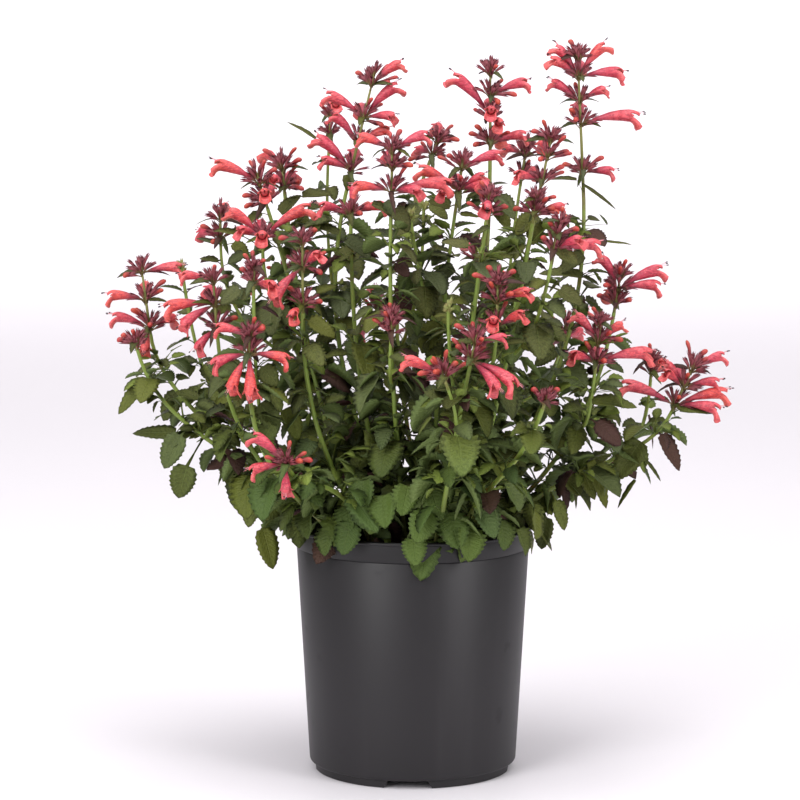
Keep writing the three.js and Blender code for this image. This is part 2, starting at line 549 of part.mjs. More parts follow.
function crosses(body, others) {
  const box = body.boundingBox();
  return others.some((other) => other.box.min[0] < box.max[0] && other.box.max[0] > box.min[0]
    && other.box.min[1] < box.max[1] && other.box.max[1] > box.min[1]
    && other.box.min[2] < box.max[2] && other.box.max[2] > box.min[2]
    && !body.intersect(other.body).isEmpty());
}

const boxed = (owner, body) => ({ owner, body, box: body.boundingBox() });

// Adds each leaf at the first turn that keeps it clear of the rest, if there is one
function addLeaves(plant, fixed) {
  const placed = [...fixed, ...plant.heads.map((head) => boxed('', head.body))];
  for (const [name, stem] of plant.stems) {
    for (const stalkBody of stem.stalks) placed.push(boxed(name, stalkBody));
    for (const minor of stem.minors) placed.push(boxed('', minor));
  }
  for (const [name, stem] of plant.stems) {
    const others = placed.filter((item) => item.owner !== name);
    for (const leaf of stem.leaves) {
      const turn = LEAF_TURNS.find((trial) => !crosses(leafSolid(leaf, trial, 0.3), others));
      if (!turn) continue;
      const body = leafSolid(leaf, turn, 0);
      stem.blades.push(body);
      others.push(boxed('', body));
      placed.push(boxed('', body));
    }
  }
}

// The compost, with a plain hole for each stem, a little wider and deeper than the stem's own end
function soilSolid(stems) {
  let ground = soilBlank();
  for (const [, { curve }] of stems) {
    const deeper = curve.v0.clone().addScaledVector(curve.getTangent(0), -SEAT_GAP);
    const line = new THREE.CubicBezierCurve3(deeper, curve.v1, curve.v2, curve.v3);
    const hole = stalk(line, stemSteps(curve), STEM_WIDTH + HOLE_PLAY, STEM_END_WIDTH + HOLE_PLAY);
    ground = ground.subtract(hole);
  }
  return ground;
}

const plant = buildPlant();
const pot = potSolid();
addLeaves(plant, [boxed('', pot), boxed('', soilBlank())]);

const group = new THREE.Group();
group.add(named('pot', pot, charcoalPlastic));
group.add(named('potting_soil', soilSolid(plant.stems), compost));
for (const [name, stem] of plant.stems) {
  group.add(named(name, join([...stem.stalks, ...stem.minors, ...stem.blades]), foliage));
}
for (const head of plant.heads) group.add(named(head.name, head.body, head.dark ? plum : coral));

export default group;
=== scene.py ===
"""Potted agastache: a bushy flowering perennial with coral flower spikes in a round nursery pot.

Lengths in the tables are millimetres in the part's frame: +Z up, the plant's front towards -Y, the
origin at the centre of the pot's foot.
"""

import math

import bmesh
import bpy
import numpy as np
from bpy.props import FloatProperty, FloatVectorProperty, IntProperty, PointerProperty
from mathutils import Matrix, Quaternion, Vector
from mathutils.kdtree import KDTree


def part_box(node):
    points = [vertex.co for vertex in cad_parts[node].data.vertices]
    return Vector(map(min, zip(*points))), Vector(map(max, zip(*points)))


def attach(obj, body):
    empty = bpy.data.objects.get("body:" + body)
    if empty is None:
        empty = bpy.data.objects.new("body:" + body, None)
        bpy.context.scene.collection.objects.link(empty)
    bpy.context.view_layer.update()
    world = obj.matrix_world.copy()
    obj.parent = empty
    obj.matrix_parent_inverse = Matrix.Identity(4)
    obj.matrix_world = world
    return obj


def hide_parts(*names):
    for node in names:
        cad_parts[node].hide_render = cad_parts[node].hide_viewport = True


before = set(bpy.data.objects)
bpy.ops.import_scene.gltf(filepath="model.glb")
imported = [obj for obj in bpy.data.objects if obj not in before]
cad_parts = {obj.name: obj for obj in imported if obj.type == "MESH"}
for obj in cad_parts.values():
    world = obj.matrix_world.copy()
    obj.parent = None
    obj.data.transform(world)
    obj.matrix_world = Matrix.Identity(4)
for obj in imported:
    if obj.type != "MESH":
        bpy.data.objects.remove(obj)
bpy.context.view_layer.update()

bl_info = {
    "name": "Potted agastache",
    "version": (1, 0, 0),
    "blender": (4, 5, 0),
    "location": "View3D > Sidebar > Agastache",
    "description": "Models a potted agastache round its solids, with its materials and a plain studio",
    "category": "Object",
}

MM = 0.001

# The plant's shoots, as in the solids: where each ends and points, the inner points of its curve where it
# is bent, the share of its stem at which a side shoot starts, how tall its head is, its whorls as
# (height, radius) and its flowers as (whorl, bearing, rise, reach)
SHOOTS = [
    dict(stem="stem_01", head="head_01", top=(-185, 15, 307), aim=(-8, 0, 55),
         bend=((-98, 9, 216), (-178, 13, 252)), tall=55, whorls=((6, 13), (25, 12), (45, 11)),
         blooms=((0, 180, 14, 28), (0, 215, 42, 20), (0, 262, -45, 24), (1, 180, 5, 28), (1, 5, 45, 20),
                 (2, 0, 5, 29), (2, 195, -12, 14), (1, 95, 15, 30), (0, 50, 8, 27))),
    dict(stem="stem_02", head="head_02", top=(-190, -35, 301), aim=(-12, 0, 6),
         bend=((-100, -19, 232), (-172, -36, 232)), tall=12, whorls=((6, 9),),
         blooms=((0, 180, 8, 13), (0, 205, 30, 12))),
    dict(stem="stem_03", head="head_03", top=(-134, -50, 314), aim=(-3, 0, 43), tall=44,
         whorls=((5, 12), (21, 12), (37, 10)),
         blooms=((0, 225, -40, 24), (0, 0, 25, 16), (1, 183, -6, 36), (1, 208, -32, 30), (1, 5, 25, 14),
                 (2, 180, 8, 22), (1, 100, 15, 30))),
    dict(stem="stem_03", start=0.45, top=(-167, 75, 350), aim=(-4, 3, 30)),
    dict(stem="stem_04", head="head_04", top=(-110, -95, 300), aim=(1, -1, 22), tall=24,
         whorls=((6, 13), (18, 9)),
         blooms=((1, 182, 12, 24), (0, 195, -18, 28), (0, 222, -58, 31), (0, 275, -60, 34), (0, 0, -12, 28),
                 (1, 20, 30, 12))),
    dict(stem="stem_04", start=0.66, top=(-108, -70, 346), aim=(0, 1, 20), tall=20,
         whorls=((6, 8), (15, 7)), blooms=((0, 170, 45, 13),)),
    dict(stem="stem_05", head="head_05", top=(-82, -125, 230), aim=(-4, -3, 17),
         bend=((-44, -66, 228), (-72, -112, 210)), tall=18, whorls=((7, 9),),
         blooms=((0, 185, -12, 25), (0, 272, -55, 23), (0, 0, 8, 18), (0, 178, 40, 30))),
    dict(stem="stem_06", head="head_06", top=(-93, 95, 403), aim=(-3, 0, 30), tall=30,
         whorls=((6, 12), (18, 11)),
         blooms=((1, 180, 45, 20), (0, 250, 12, 24), (0, 0, 12, 12), (0, 80, 10, 30), (1, 120, 20, 28))),
    dict(stem="stem_06", start=0.5, head="head_07", top=(-139, 80, 367), aim=(0, 0, 30), tall=30,
         whorls=((5, 11), (18, 10)),
         blooms=((0, 180, 30, 17), (0, 0, 22, 17), (0, 240, -18, 12), (1, 85, 15, 28), (0, 130, 5, 26))),
    dict(stem="stem_07", head="head_08", top=(-103, 40, 394), aim=(-10, 0, 32), tall=34,
         whorls=((7, 12), (20, 12)),
         blooms=((1, 181, 22, 36), (0, 195, 12, 17), (0, 272, 15, 24), (1, 0, 40, 16), (0, 85, 15, 29))),
    dict(stem="stem_07", start=0.62, head="head_09", top=(-105, 0, 370), aim=(0, -2, 15), tall=16,
         whorls=((7, 13),),
         blooms=((0, 180, 38, 31), (0, 222, 15, 23), (0, 272, 4, 26), (0, 0, 31, 42), (0, 95, 25, 22))),
    dict(stem="stem_08", head="head_10", top=(-75, -65, 329), aim=(0, 0, 55), tall=55,
         whorls=((7, 11), (33, 12), (50, 9)),
         blooms=((2, 20, 38, 13), (1, 205, -48, 33), (0, 165, 48, 16), (0, 350, 8, 14), (1, 345, -20, 15))),
    dict(stem="stem_09", head="head_11", top=(-46, 70, 412), aim=(21, 2, 87), tall=88,
         whorls=((9, 14), (30, 13), (48, 13), (72, 12)),
         blooms=((3, 170, 38, 15), (3, 0, 35, 27), (3, 350, 5, 14), (2, 180, 30, 33), (2, 5, 42, 35),
                 (2, 335, 0, 25), (1, 180, 45, 27), (1, 0, 20, 25), (0, 180, 42, 36), (0, 195, 18, 24),
                 (0, 85, 20, 34), (2, 95, 10, 32))),
    dict(stem="stem_09", start=0.55, head="head_12", top=(-61, 125, 440), aim=(1, 0, 14), tall=27,
         whorls=((6, 8), (18, 9)), blooms=((1, 90, 25, 26), (1, 60, 55, 14))),
    dict(stem="stem_10", head="head_13", top=(-43, -20, 388), aim=(0, 0, 14), tall=16, whorls=((7, 12),),
         blooms=((0, 200, 12, 24), (0, 15, 25, 16), (0, 352, 12, 25), (0, 75, 58, 22))),
    dict(stem="stem_11", head="head_14", top=(-15, -50, 403), aim=(1, 0, 43), tall=44,
         whorls=((9, 14), (25, 13), (37, 9)),
         blooms=((2, 180, 20, 25), (2, 45, 58, 16), (2, 0, 22, 27), (1, 315, 5, 20), (0, 183, 5, 27),
                 (0, 0, 5, 43), (0, 322, 0, 25), (1, 95, 15, 28))),
    dict(stem="stem_11", start=0.5, top=(-15, -110, 317), aim=(1, -1, 19), tall=20,
         whorls=((6, 8), (14, 8)), blooms=((0, 20, 50, 11),)),
    dict(stem="stem_12", head="head_15", top=(13, 115, 425), aim=(8, 0, 20), tall=24,
         whorls=((6, 9), (17, 10)), blooms=((1, 90, 20, 27), (0, 120, 5, 22))),
    dict(stem="stem_12", start=0.5, top=(8, 55, 396), aim=(0, 0, 20)),
    dict(stem="stem_13", head="head_16", top=(31, 0, 404), aim=(5, 0, 33), tall=35,
         whorls=((6, 13), (22, 12)),
         blooms=((1, 180, 40, 14), (1, 0, 18, 29), (0, 181, 27, 33), (0, 225, 45, 12), (0, 345, 28, 22),
                 (0, 325, 8, 24), (0, 90, 15, 27))),
    dict(stem="stem_13", start=0.62, top=(-2, -10, 392), aim=(-3, -2, 20)),
    dict(stem="stem_14", head="head_17", top=(55, 45, 434), aim=(0, 0, 66), tall=67,
         whorls=((7, 13), (26, 14), (41, 12), (56, 10)),
         blooms=((2, 5, 18, 29), (2, 340, 0, 20), (1, 180, 46, 41), (1, 270, 10, 24), (0, 185, 50, 17),
                 (0, 175, 25, 17), (0, 0, 12, 27), (0, 215, -5, 15), (1, 90, 15, 33), (0, 75, 5, 30))),
    dict(stem="stem_15", head="head_18", top=(49, -75, 392), aim=(3, 0, 22), tall=24,
         whorls=((6, 10), (17, 9)), blooms=((0, 165, 68, 18), (0, 0, 20, 15), (1, 100, 20, 24))),
    dict(stem="stem_15", start=0.5, head="head_19", top=(55, -112, 322), aim=(1, -2, 40), tall=41,
         whorls=((5, 11), (21, 11), (32, 8)),
         blooms=((0, 262, 8, 24), (1, 340, 14, 24), (2, 170, 58, 14), (2, 15, 35, 15), (0, 20, 10, 14))),
    dict(stem="stem_16", head="head_20", top=(122, 55, 409), aim=(-5, 0, 100), tall=100,
         whorls=((11, 13), (46, 14), (62, 13), (79, 13), (93, 10)),
         blooms=((3, 185, 50, 28), (3, 200, 28, 26), (3, 10, 48, 31), (3, 0, 3, 33), (2, 180, 32, 25),
                 (2, 345, 22, 21), (1, 235, 35, 18), (1, 255, 8, 20), (1, 0, 5, 44), (0, 185, 22, 16),
                 (0, 10, 35, 19), (0, 348, 0, 23), (1, 90, 20, 34), (3, 85, 15, 30), (4, 150, 60, 14))),
    dict(stem="stem_17", head="head_21", top=(86, -14, 401), aim=(11, 0, 52), tall=53,
         whorls=((16, 13), (34, 12), (46, 9)),
         blooms=((2, 180, 22, 15), (0, 0, 35, 19), (0, 208, 12, 23), (1, 10, 10, 16), (1, 95, 15, 29))),
    dict(stem="stem_17", start=0.5, head="head_22", top=(79, 100, 409), aim=(5, 0, 33), tall=34,
         whorls=((6, 10), (22, 11)), blooms=((1, 85, 20, 29), (1, 130, 10, 22), (0, 70, 5, 27))),
    dict(stem="stem_18", head="head_23", top=(81, -60, 390), aim=(3, -4, 19), tall=22,
         whorls=((8, 13), (17, 9)), blooms=((0, 335, 14, 15), (0, 0, 10, 21), (0, 180, 10, 15))),
    dict(stem="stem_18", start=0.6, head="head_24", top=(92, -102, 367), aim=(6, 0, 30), tall=33,
         whorls=((8, 12), (19, 9), (28, 7)),
         blooms=((0, 0, 6, 32), (0, 322, 20, 24), (0, 170, 48, 13), (1, 0, 15, 15))),
    dict(stem="stem_19", head="head_25", top=(143, 30, 321), aim=(5, 0, 31), tall=33,
         whorls=((7, 12), (18, 12), (27, 9)),
         blooms=((1, 172, 60, 26), (0, 185, 25, 15), (1, 5, 22, 36), (1, 0, 2, 31), (0, 330, 15, 13),
                 (0, 95, 10, 28))),
    dict(stem="stem_19", start=0.55, head="head_26", top=(124, -60, 289), aim=(4, 0, 38), tall=40,
         whorls=((7, 14), (21, 12), (34, 8)),
         blooms=((0, 215, 14, 24), (0, 0, 8, 40), (1, 176, 48, 25), (1, 10, 34, 21), (1, 350, 5, 17),
                 (0, 85, 10, 26))),
    dict(stem="stem_20", head="head_27", top=(37, -136, 301), aim=(5, -3, 24), tall=27,
         whorls=((5, 12), (17, 12)),
         blooms=((0, 320, -42, 30), (0, 342, -30, 37), (0, 172, 42, 14), (1, 176, 40, 18), (1, 0, 6, 21))),
    dict(stem="stem_20", start=0.55, head="head_28", top=(22, -148, 288), aim=(-8, -2, 20), tall=20,
         whorls=((8, 12),), blooms=((0, 182, 24, 29), (0, 210, 10, 20), (0, 0, 48, 14))),
    dict(stem="stem_21", head="head_29", top=(181, -10, 255), aim=(12, 0, 42),
         bend=((88, -5, 222), (160, -10, 210)), tall=44, whorls=((6, 11), (21, 13), (34, 11)),
         blooms=((0, 180, 20, 42), (0, 2, 12, 39), (0, 345, -6, 33), (1, 172, 48, 21), (1, 0, 4, 25),
                 (2, 10, 52, 17), (2, 0, 22, 25), (1, 95, 15, 29))),
    dict(stem="stem_21", start=0.4, head="head_30", top=(174, 85, 267), aim=(1, 1, 18), tall=20,
         whorls=((6, 9), (14, 8)), blooms=((0, 175, 60, 14), (0, 0, 40, 14), (0, 80, 15, 26))),
    dict(stem="stem_22", top=(85, -132, 272), aim=(5, -3, 14),
         bend=((44, -70, 222), (66, -114, 214)), tall=16, whorls=((6, 8),),
         blooms=((0, 175, 45, 13), (0, 0, 45, 13))),
    dict(stem="stem_22", start=0.45, top=(23, -112, 338), aim=(0, -2, 20)),
    dict(stem="stem_23", head="head_31", top=(-91, 127, 320), aim=(-4, 4, 30), tall=32,
         whorls=((6, 12), (20, 11)),
         blooms=((0, 90, 10, 32), (0, 170, 15, 30), (1, 60, 30, 24), (1, 130, 20, 18))),
    dict(stem="stem_23", start=0.5, head="head_32", top=(-28, 138, 296), aim=(2, 5, 30), tall=30,
         whorls=((6, 12), (19, 10)), blooms=((0, 75, 5, 34), (0, 120, -20, 28), (1, 95, 40, 22))),
    dict(stem="stem_24", head="head_33", top=(46, 136, 330), aim=(3, 4, 36), tall=38,
         whorls=((6, 13), (22, 12)),
         blooms=((0, 85, 12, 33), (0, 30, 5, 28), (1, 110, 25, 28), (1, 60, 10, 18))),
    dict(stem="stem_24", start=0.5, head="head_34", top=(110, 122, 286), aim=(7, 6, 26), tall=28,
         whorls=((6, 12), (18, 10)), blooms=((0, 60, 8, 32), (0, 110, -10, 28), (1, 20, 30, 22))),
]

# Pot, as in the solids, with notches that widen downwards
FOOT_RADIUS = 69.6
FOOT_HEIGHT = 5.8
FLOOR = 2.2
WALL_BOTTOM_RADIUS = 73.2
WALL_TOP_RADIUS = 82
BAND_BOTTOM = 160
BAND_RADIUS = 83
NOTCH_COUNT = 4
NOTCH_BEARING = 267
NOTCH_SIZE = (27, 27, 11)
NOTCH_SPREAD = 1.5
DRAIN_RADIUS = 5
DRAIN_RING = 52
DRAIN_DEPTH = 13

# Compost, with its surface a little under the rim
SOIL_TOP = 161
SOIL_EDGE = 158
SOIL_FOOT_RADIUS = 70.7
SOIL_RINGS = 22
SOIL_STEPS = 90
CRUMBS = 420

# Stems: they follow the solids' curves and are a little slimmer
ROOT_DEPTH = 9
ROOT_SHARE = 0.3
STEM_WIDTH = 3.5
STEM_END_WIDTH = 2.4
BRANCH_WIDTH = 2.5
BRANCH_END_WIDTH = 2.1
SEAT_GAP = 0.3
STEM_STEP = 40
CORNER_REACH = 1.55

# Leaves, as in the solids, with a blade a little shorter. The turns are (tilt, swing) in degrees, and the
# solids take the first one that is clear
LEAF_SPACING = 54
FIRST_PAIR = 0.15
BRANCH_PAIR = 0.5
LAST_PAIR = 0.88
LEAF_LENGTH = 33
BLADE_SHARE = 0.88
LOW_DROOP = -62
HIGH_DROOP = -14
LOW_PETIOLE = 19
HIGH_PETIOLE = 4.5
LEAF_TURNS = ((0, 0), (14, 0), (-14, 0), (0, 18), (0, -18), (24, 12), (-24, -12), (24, -24), (-24, 24),
              (40, 0), (-40, 0), (10, 40), (-10, -40))
TIP_MATCH = 0.05

# Leaves that only the scene has: pairs between those of the solids, and a ring over the rim's back
PAIR_SPACING = 19
FIRST_EXTRA_PAIR = 0.1
BRANCH_EXTRA_PAIR = 0.3
LAST_EXTRA_PAIR = 0.94
BACK_RIM_LEAVES = 22
BACK_RIM_RADIUS = 90

# The leaf's own form: each tooth of a side is a point and a notch, as (share of the tooth, share of width)
TEETH = 8
PLAIN_TEETH = 6
SMALL_TEETH = 4
TOOTH_STEPS = ((0.0, 1.0), (0.64, 0.875))
PETIOLE_HALF = 0.75
BLADE_THICKNESS = 0.3
FLAT_ARCH = 0.12
AXIL_ARCH = 0.16
EXTRA_ARCH = 0.2
WIDE_LEAF = 11

# Kinds of leaf, as the leaf's material reads them
GREEN = 0.0
YOUNG = 0.27
PURPLE = 0.9
PURPLE_SHARE = 0.05
BRACT_PURPLE_SHARE = 0.3

# Flower heads, as in the solids
CALYX_SPOKES = 8
FLOWER_MIN = 21
BLOOM_BOW = 0.3

# Flower heads: what only the scene has
EXTRA_CALYCES = 5
TIP_CALYCES = 6
GREEN_TIP_CALYCES = 14
TIP_TURN = 2.4
EXTRA_BLOOM_SHARE = 0.4
EXTRA_BUD_SHARE = 0.09
FLOWER_LENGTH = 30
FLOWER_WALL = 0.4
FLOWER_ROLL = 35
STAMENS = 3

# Kinds of flower piece and of calyx, as their materials read them
OPEN_FLOWER = 0.0
BUD = 0.5
STAMEN = 1.0
PLUM_CALYX = 0.0
GREEN_STALK = 0.5

# Tones of a leaf, as a screen shows them
LEAF_TONES = dict(
    olive=(0.31, 0.298, 0.165), vein=(0.50, 0.56, 0.30), back=(0.36, 0.42, 0.22),
    back_vein=(0.48, 0.54, 0.32), grey=(0.29, 0.335, 0.225), yellow=(0.36, 0.375, 0.09),
    fresh=(0.26, 0.37, 0.16), purple=(0.27, 0.135, 0.15), young=(0.46, 0.52, 0.21))

# Tones of a flower, as a screen shows them; the fleck is a painted glint and the throat a painted shade
FLOWER_TONES = dict(
    orange=(0.82, 0.27, 0.20), magenta=(0.72, 0.17, 0.30), streak=(0.52, 0.11, 0.19),
    fleck=(0.95, 0.60, 0.58), foot=(0.62, 0.20, 0.30), lip=(0.90, 0.38, 0.38), throat=(0.64, 0.15, 0.18),
    dull_bud=(0.64, 0.18, 0.20), bud_foot=(0.46, 0.13, 0.16), thread=(0.85, 0.55, 0.58),
    anther=(0.16, 0.09, 0.12))

# Stage, in metres: the floor runs up into a wall, and lights are (name, place, aim, size, power)
FLOOR_SIZE = (16, 10)
WALL_BEND = 2.5
WALL_BEND_STEPS = 12
WALL_RISE = 6
LIGHTS = (
    ("left softbox", (-1.5, -2.0, 1.5), (0, 0, 0.3), (1.2, 1.8), 53),
    ("right softbox", (2.0, -1.6, 1.3), (0, 0, 0.3), (1.0, 1.6), 34),
    ("top softbox", (0, -0.3, 2.6), (0, 0, 0.2), (2.2, 2.2), 60),
    ("back light", (0, 5.0, 4.0), (0, 7.5, 1.0), (9, 2.5), 305),
)
AIR_LIGHT = 0.6
CAMERA_SHIFT = -0.009
CAMERA_AIM_HEIGHT = 0.262
CAMERA_SENSOR = 36

# The leaves that hang over the front of the rim, as (x, z, turn in its own plane, length)
RIM_LEAVES = (
    (-72, 183, 20, 25), (-60, 172, 8, 24), (-46, 176, -10, 26), (-44, 190, 25, 22), (-27, 190, -15, 24),
    (-20, 196, 12, 27), (1, 168, 4, 22), (5, 186, -20, 26), (28, 182, 10, 30), (38, 172, -8, 27),
    (52, 186, 14, 26), (62, 176, -12, 25), (76, 168, 6, 22), (86, 178, -24, 24), (-88, 190, 30, 26),
    (-98, 178, 12, 24), (94, 192, -16, 26), (16, 200, 18, 24), (-6, 204, -12, 24), (-34, 206, 10, 24),
    (44, 204, -14, 25), (70, 200, 12, 25), (-64, 204, -8, 25),
)

# The leaves that stand out in the outline or close its gaps, as (base, tip, width, turn of the blade from
# level towards the front, kind)
MEASURED_LEAVES = (
    ((-183, -39, 280), (-205, -39, 258), 12, 55, GREEN),
    ((-166, 19, 265), (-178, 19, 245), 16, 70, GREEN),
    ((-164, -35, 243), (-194, -35, 245), 14, 45, GREEN),
    ((-160, -39, 242), (-173, -39, 219), 18, 75, GREEN),
    ((-156, -39, 221), (-163, -39, 198), 20, 82, GREEN),
    ((-151, 8, 262), (-167, 8, 268), 12, 30, GREEN),
    ((-134, 18, 247), (-160, 18, 234), 13, 45, GREEN),
    ((-105, -21, 174), (-97, -21, 145), 17, 72, GREEN),
    ((-111, -23, 195), (-116, -23, 175), 15, 70, GREEN),
    ((-120, -27, 213), (-125, -27, 195), 13, 60, GREEN),
    ((-129, -20, 225), (-128, -20, 205), 16, 80, GREEN),
    ((-125, 6, 229), (-142, 6, 224), 12, 35, GREEN),
    ((173, -14, 239), (188, -14, 214), 13, 65, PURPLE),
    ((172, 76, 242), (178, 76, 217), 6, 30, PURPLE),
    ((126, -48, 252), (144, -48, 237), 16, 60, PURPLE),
    ((159, -17, 235), (141, -17, 208), 21, 75, GREEN),
    ((156, -13, 207), (142, -13, 188), 5, 40, GREEN),
    ((163, -13, 221), (175, -13, 207), 4, 40, GREEN),
    ((124, -11, 220), (138, -11, 187), 12, 60, GREEN),
    ((134, -12, 214), (136, -12, 195), 4, 30, GREEN),
    ((118, -11, 215), (129, -11, 193), 13, 65, GREEN),
    ((106, -3, 201), (109, -3, 183), 8, 60, PURPLE),
    ((113, 4, 201), (117, 4, 184), 4, 40, GREEN),
    ((186, -14, 257), (210, -14, 256), 9, 40, GREEN),
    ((107, -10, 210), (119, -10, 196), 14, 60, GREEN),
    ((100, -10, 192), (108, -10, 171), 12, 60, GREEN),
    ((94, -9, 180), (90, -9, 157), 15, 75, GREEN),
    ((158, -13, 223), (163, -13, 212), 6, 60, YOUNG),
    ((122, -60, 268), (153, -60, 267), 14, 30, GREEN),
    ((-80, 91, 400), (-58, 91, 403), 11, 38, GREEN),
    ((-71, 121, 441), (-91, 121, 455), 5, 40, GREEN),
    ((-48, 66, 417), (-46, 66, 405), 8, 70, GREEN),
    ((-53, 64, 375), (-79, 64, 383), 13, 28, GREEN),
    ((-47, -24, 376), (-28, -24, 364), 16, 40, GREEN),
    ((-8, 108, 370), (-41, 108, 375), 14, 24, GREEN),
    ((-14, -54, 405), (-17, -54, 394), 10, 60, GREEN),
    ((-12, -54, 400), (-2, -54, 384), 14, 55, GREEN),
    ((17, -4, 361), (-13, -4, 363), 13, 22, GREEN),
    ((26, -4, 398), (11, -4, 403), 12, 45, GREEN),
    ((33, -4, 393), (47, -4, 392), 8, 30, GREEN),
    ((74, -18, 367), (48, -18, 366), 17, 32, GREEN),
    ((84, -18, 391), (70, -18, 380), 15, 60, GREEN),
    ((84, -18, 390), (84, -18, 372), 15, 70, GREEN),
    ((90, -18, 390), (101, -18, 376), 10, 50, GREEN),
    ((54, 41, 409), (38, 41, 403), 8, 35, GREEN),
    ((49, 41, 399), (34, 41, 395), 6, 35, GREEN),
    ((51, -79, 388), (38, -79, 382), 7, 35, GREEN),
    ((117, 51, 414), (96, 51, 416), 5, 40, GREEN),
    ((121, 51, 411), (147, 51, 395), 4, 40, GREEN),
    ((133, 50, 372), (123, 50, 378), 7, 40, GREEN),
    ((135, 50, 370), (157, 50, 370), 4, 25, GREEN),
    ((122, 49, 345), (91, 49, 350), 13, 28, GREEN),
    ((122, 49, 345), (134, 49, 340), 6, 30, GREEN),
    ((-141, 76, 367), (-156, 76, 372), 8, 30, GREEN),
    ((-141, 76, 354), (-154, 76, 357), 8, 35, GREEN),
    ((-118, -4, 377), (-139, -4, 383), 10, 30, GREEN),
    ((-96, 91, 388), (-82, 91, 402), 12, 50, GREEN),
    ((20, -4, 376), (15, -4, 386), 5, 50, PURPLE),
    ((37, -79, 376), (19, -79, 380), 17, 28, GREEN),
    ((-75, 113, 381), (-97, 113, 372), 12, 30, GREEN),
    ((139, 51, 382), (134, 51, 390), 3, 40, GREEN),
    ((133, 50, 355), (150, 50, 348), 7, 35, GREEN),
    ((-102, -78, 294), (-92, -78, 280), 16, 70, GREEN),
    ((-104, -81, 269), (-90, -81, 251), 18, 62, GREEN),
    ((-87, -64, 264), (-77, -64, 242), 16, 65, GREEN),
    ((-95, -84, 256), (-105, -84, 239), 16, 70, GREEN),
    ((-2, 71, 312), (9, 71, 292), 18, 70, GREEN),
    ((19, -4, 316), (5, -4, 296), 18, 60, GREEN),
    ((11, -4, 305), (20, -4, 288), 17, 70, GREEN),
    ((73, -73, 309), (91, -73, 303), 16, 45, GREEN),
    ((107, 118, 286), (90, 118, 274), 15, 55, GREEN),
    ((94, -106, 376), (110, -106, 367), 14, 42, GREEN),
    ((122, 50, 361), (103, 50, 348), 16, 45, GREEN),
    ((12, 51, 396), (26, 51, 387), 12, 45, GREEN),
    ((56, 40, 395), (70, 40, 380), 14, 50, GREEN),
    ((87, -18, 392), (71, -18, 383), 14, 45, GREEN),
    ((-71, -69, 324), (-52, -69, 314), 14, 50, GREEN),
    ((-55, 68, 306), (-71, 68, 293), 14, 60, GREEN),
    ((-130, 76, 367), (-117, 76, 356), 12, 50, GREEN),
    ((-118, -3, 365), (-130, -3, 359), 11, 45, GREEN),
    ((-28, -54, 403), (-14, -54, 396), 10, 35, GREEN),
    ((-42, -24, 368), (-57, -24, 361), 12, 45, GREEN),
    ((-107, 36, 391), (-120, 36, 382), 11, 40, GREEN),
    ((29, -4, 355), (12, -4, 345), 14, 50, GREEN),
    ((67, 67, 327), (53, 67, 314), 15, 60, GREEN),
    ((97, -105, 348), (113, -105, 339), 14, 55, GREEN),
    ((-117, -74, 346), (-131, -74, 337), 13, 50, GREEN),
    ((-82, 90, 364), (-96, 90, 355), 13, 35, PURPLE),
    ((-12, -53, 362), (-2, -53, 354), 12, 50, PURPLE),
)


def mix(a, b, share):
    return a + (b - a) * share


def seeded_draw(seed):
    """A repeatable draw between 0 and 1, the same as the solids use."""
    state = seed % 2 ** 32

    def draw():
        nonlocal state
        state = (state * 1664525 + 1013904223) % 2 ** 32
        return state / 2 ** 32
    return draw


def direction(bearing, rise):
    flat = math.cos(math.radians(rise))
    around = math.radians(bearing)
    return Vector((flat * math.cos(around), flat * math.sin(around), math.sin(math.radians(rise))))


def linear(colour):
    """A colour given as a screen shows it, as the shader's linear one."""
    return tuple(c / 12.92 if c <= 0.04045 else ((c + 0.055) / 1.055) ** 2.4 for c in colour)


def linear_tones(tones):
    return {name: linear(colour) for name, colour in tones.items()}


def dimmed(colour, share):
    return tuple(c * share for c in colour)


class Way:
    """A cubic curve that is read by its share of length."""

    STEPS = 200

    def __init__(self, *points):
        self.points = [Vector(p) for p in points]
        self.marks = [self.at(i / self.STEPS) for i in range(self.STEPS + 1)]
        self.lengths = [0.0]
        for one, two in zip(self.marks, self.marks[1:]):
            self.lengths.append(self.lengths[-1] + (two - one).length)
        self.length = self.lengths[-1]

    def at(self, t):
        a, b, c, d = self.points
        return a * (1 - t) ** 3 + b * 3 * t * (1 - t) ** 2 + c * 3 * t * t * (1 - t) + d * t ** 3

    def point(self, share):
        """The point at a share of the length."""
        target = max(0.0, min(1.0, share)) * self.length
        i = int(np.searchsorted(self.lengths, target))
        if i == 0:
            return self.at(0)
        low, high = self.lengths[i - 1], self.lengths[i]
        return self.at((i - 1 + (target - low) / (high - low)) / self.STEPS)

    def tangent(self, share):
        return (self.point(min(1, share + 0.002)) - self.point(max(0, share - 0.002))).normalized()

    def on_stalk(self, share):
        """The point on the straight stretches of the solid's stalk."""
        steps = max(3, round(self.length / STEM_STEP))
        step = min(steps - 1, math.floor(share * steps))
        return self.point(step / steps).lerp(self.point((step + 1) / steps), share * steps - step)


def shoot_way(shoot, parent):
    """The curve of a shoot, out of the compost or its parent stem and into its aim."""
    top, aim = Vector(shoot["top"]), Vector(shoot["aim"]).normalized()
    if parent:
        start = parent.on_stalk(shoot["start"])
    else:
        start = Vector((top.x * ROOT_SHARE, top.y * ROOT_SHARE, SOIL_TOP - ROOT_DEPTH))
    span = top - start
    if "bend" in shoot:
        return Way(start, *shoot["bend"], top)
    lift, spread = (0.25, 0.55) if parent else (0.3, 0.45)
    leave = start + Vector((span.x * spread, span.y * spread, span.z * lift))
    return Way(start, leave, top - aim * 0.48 * span.length, top)


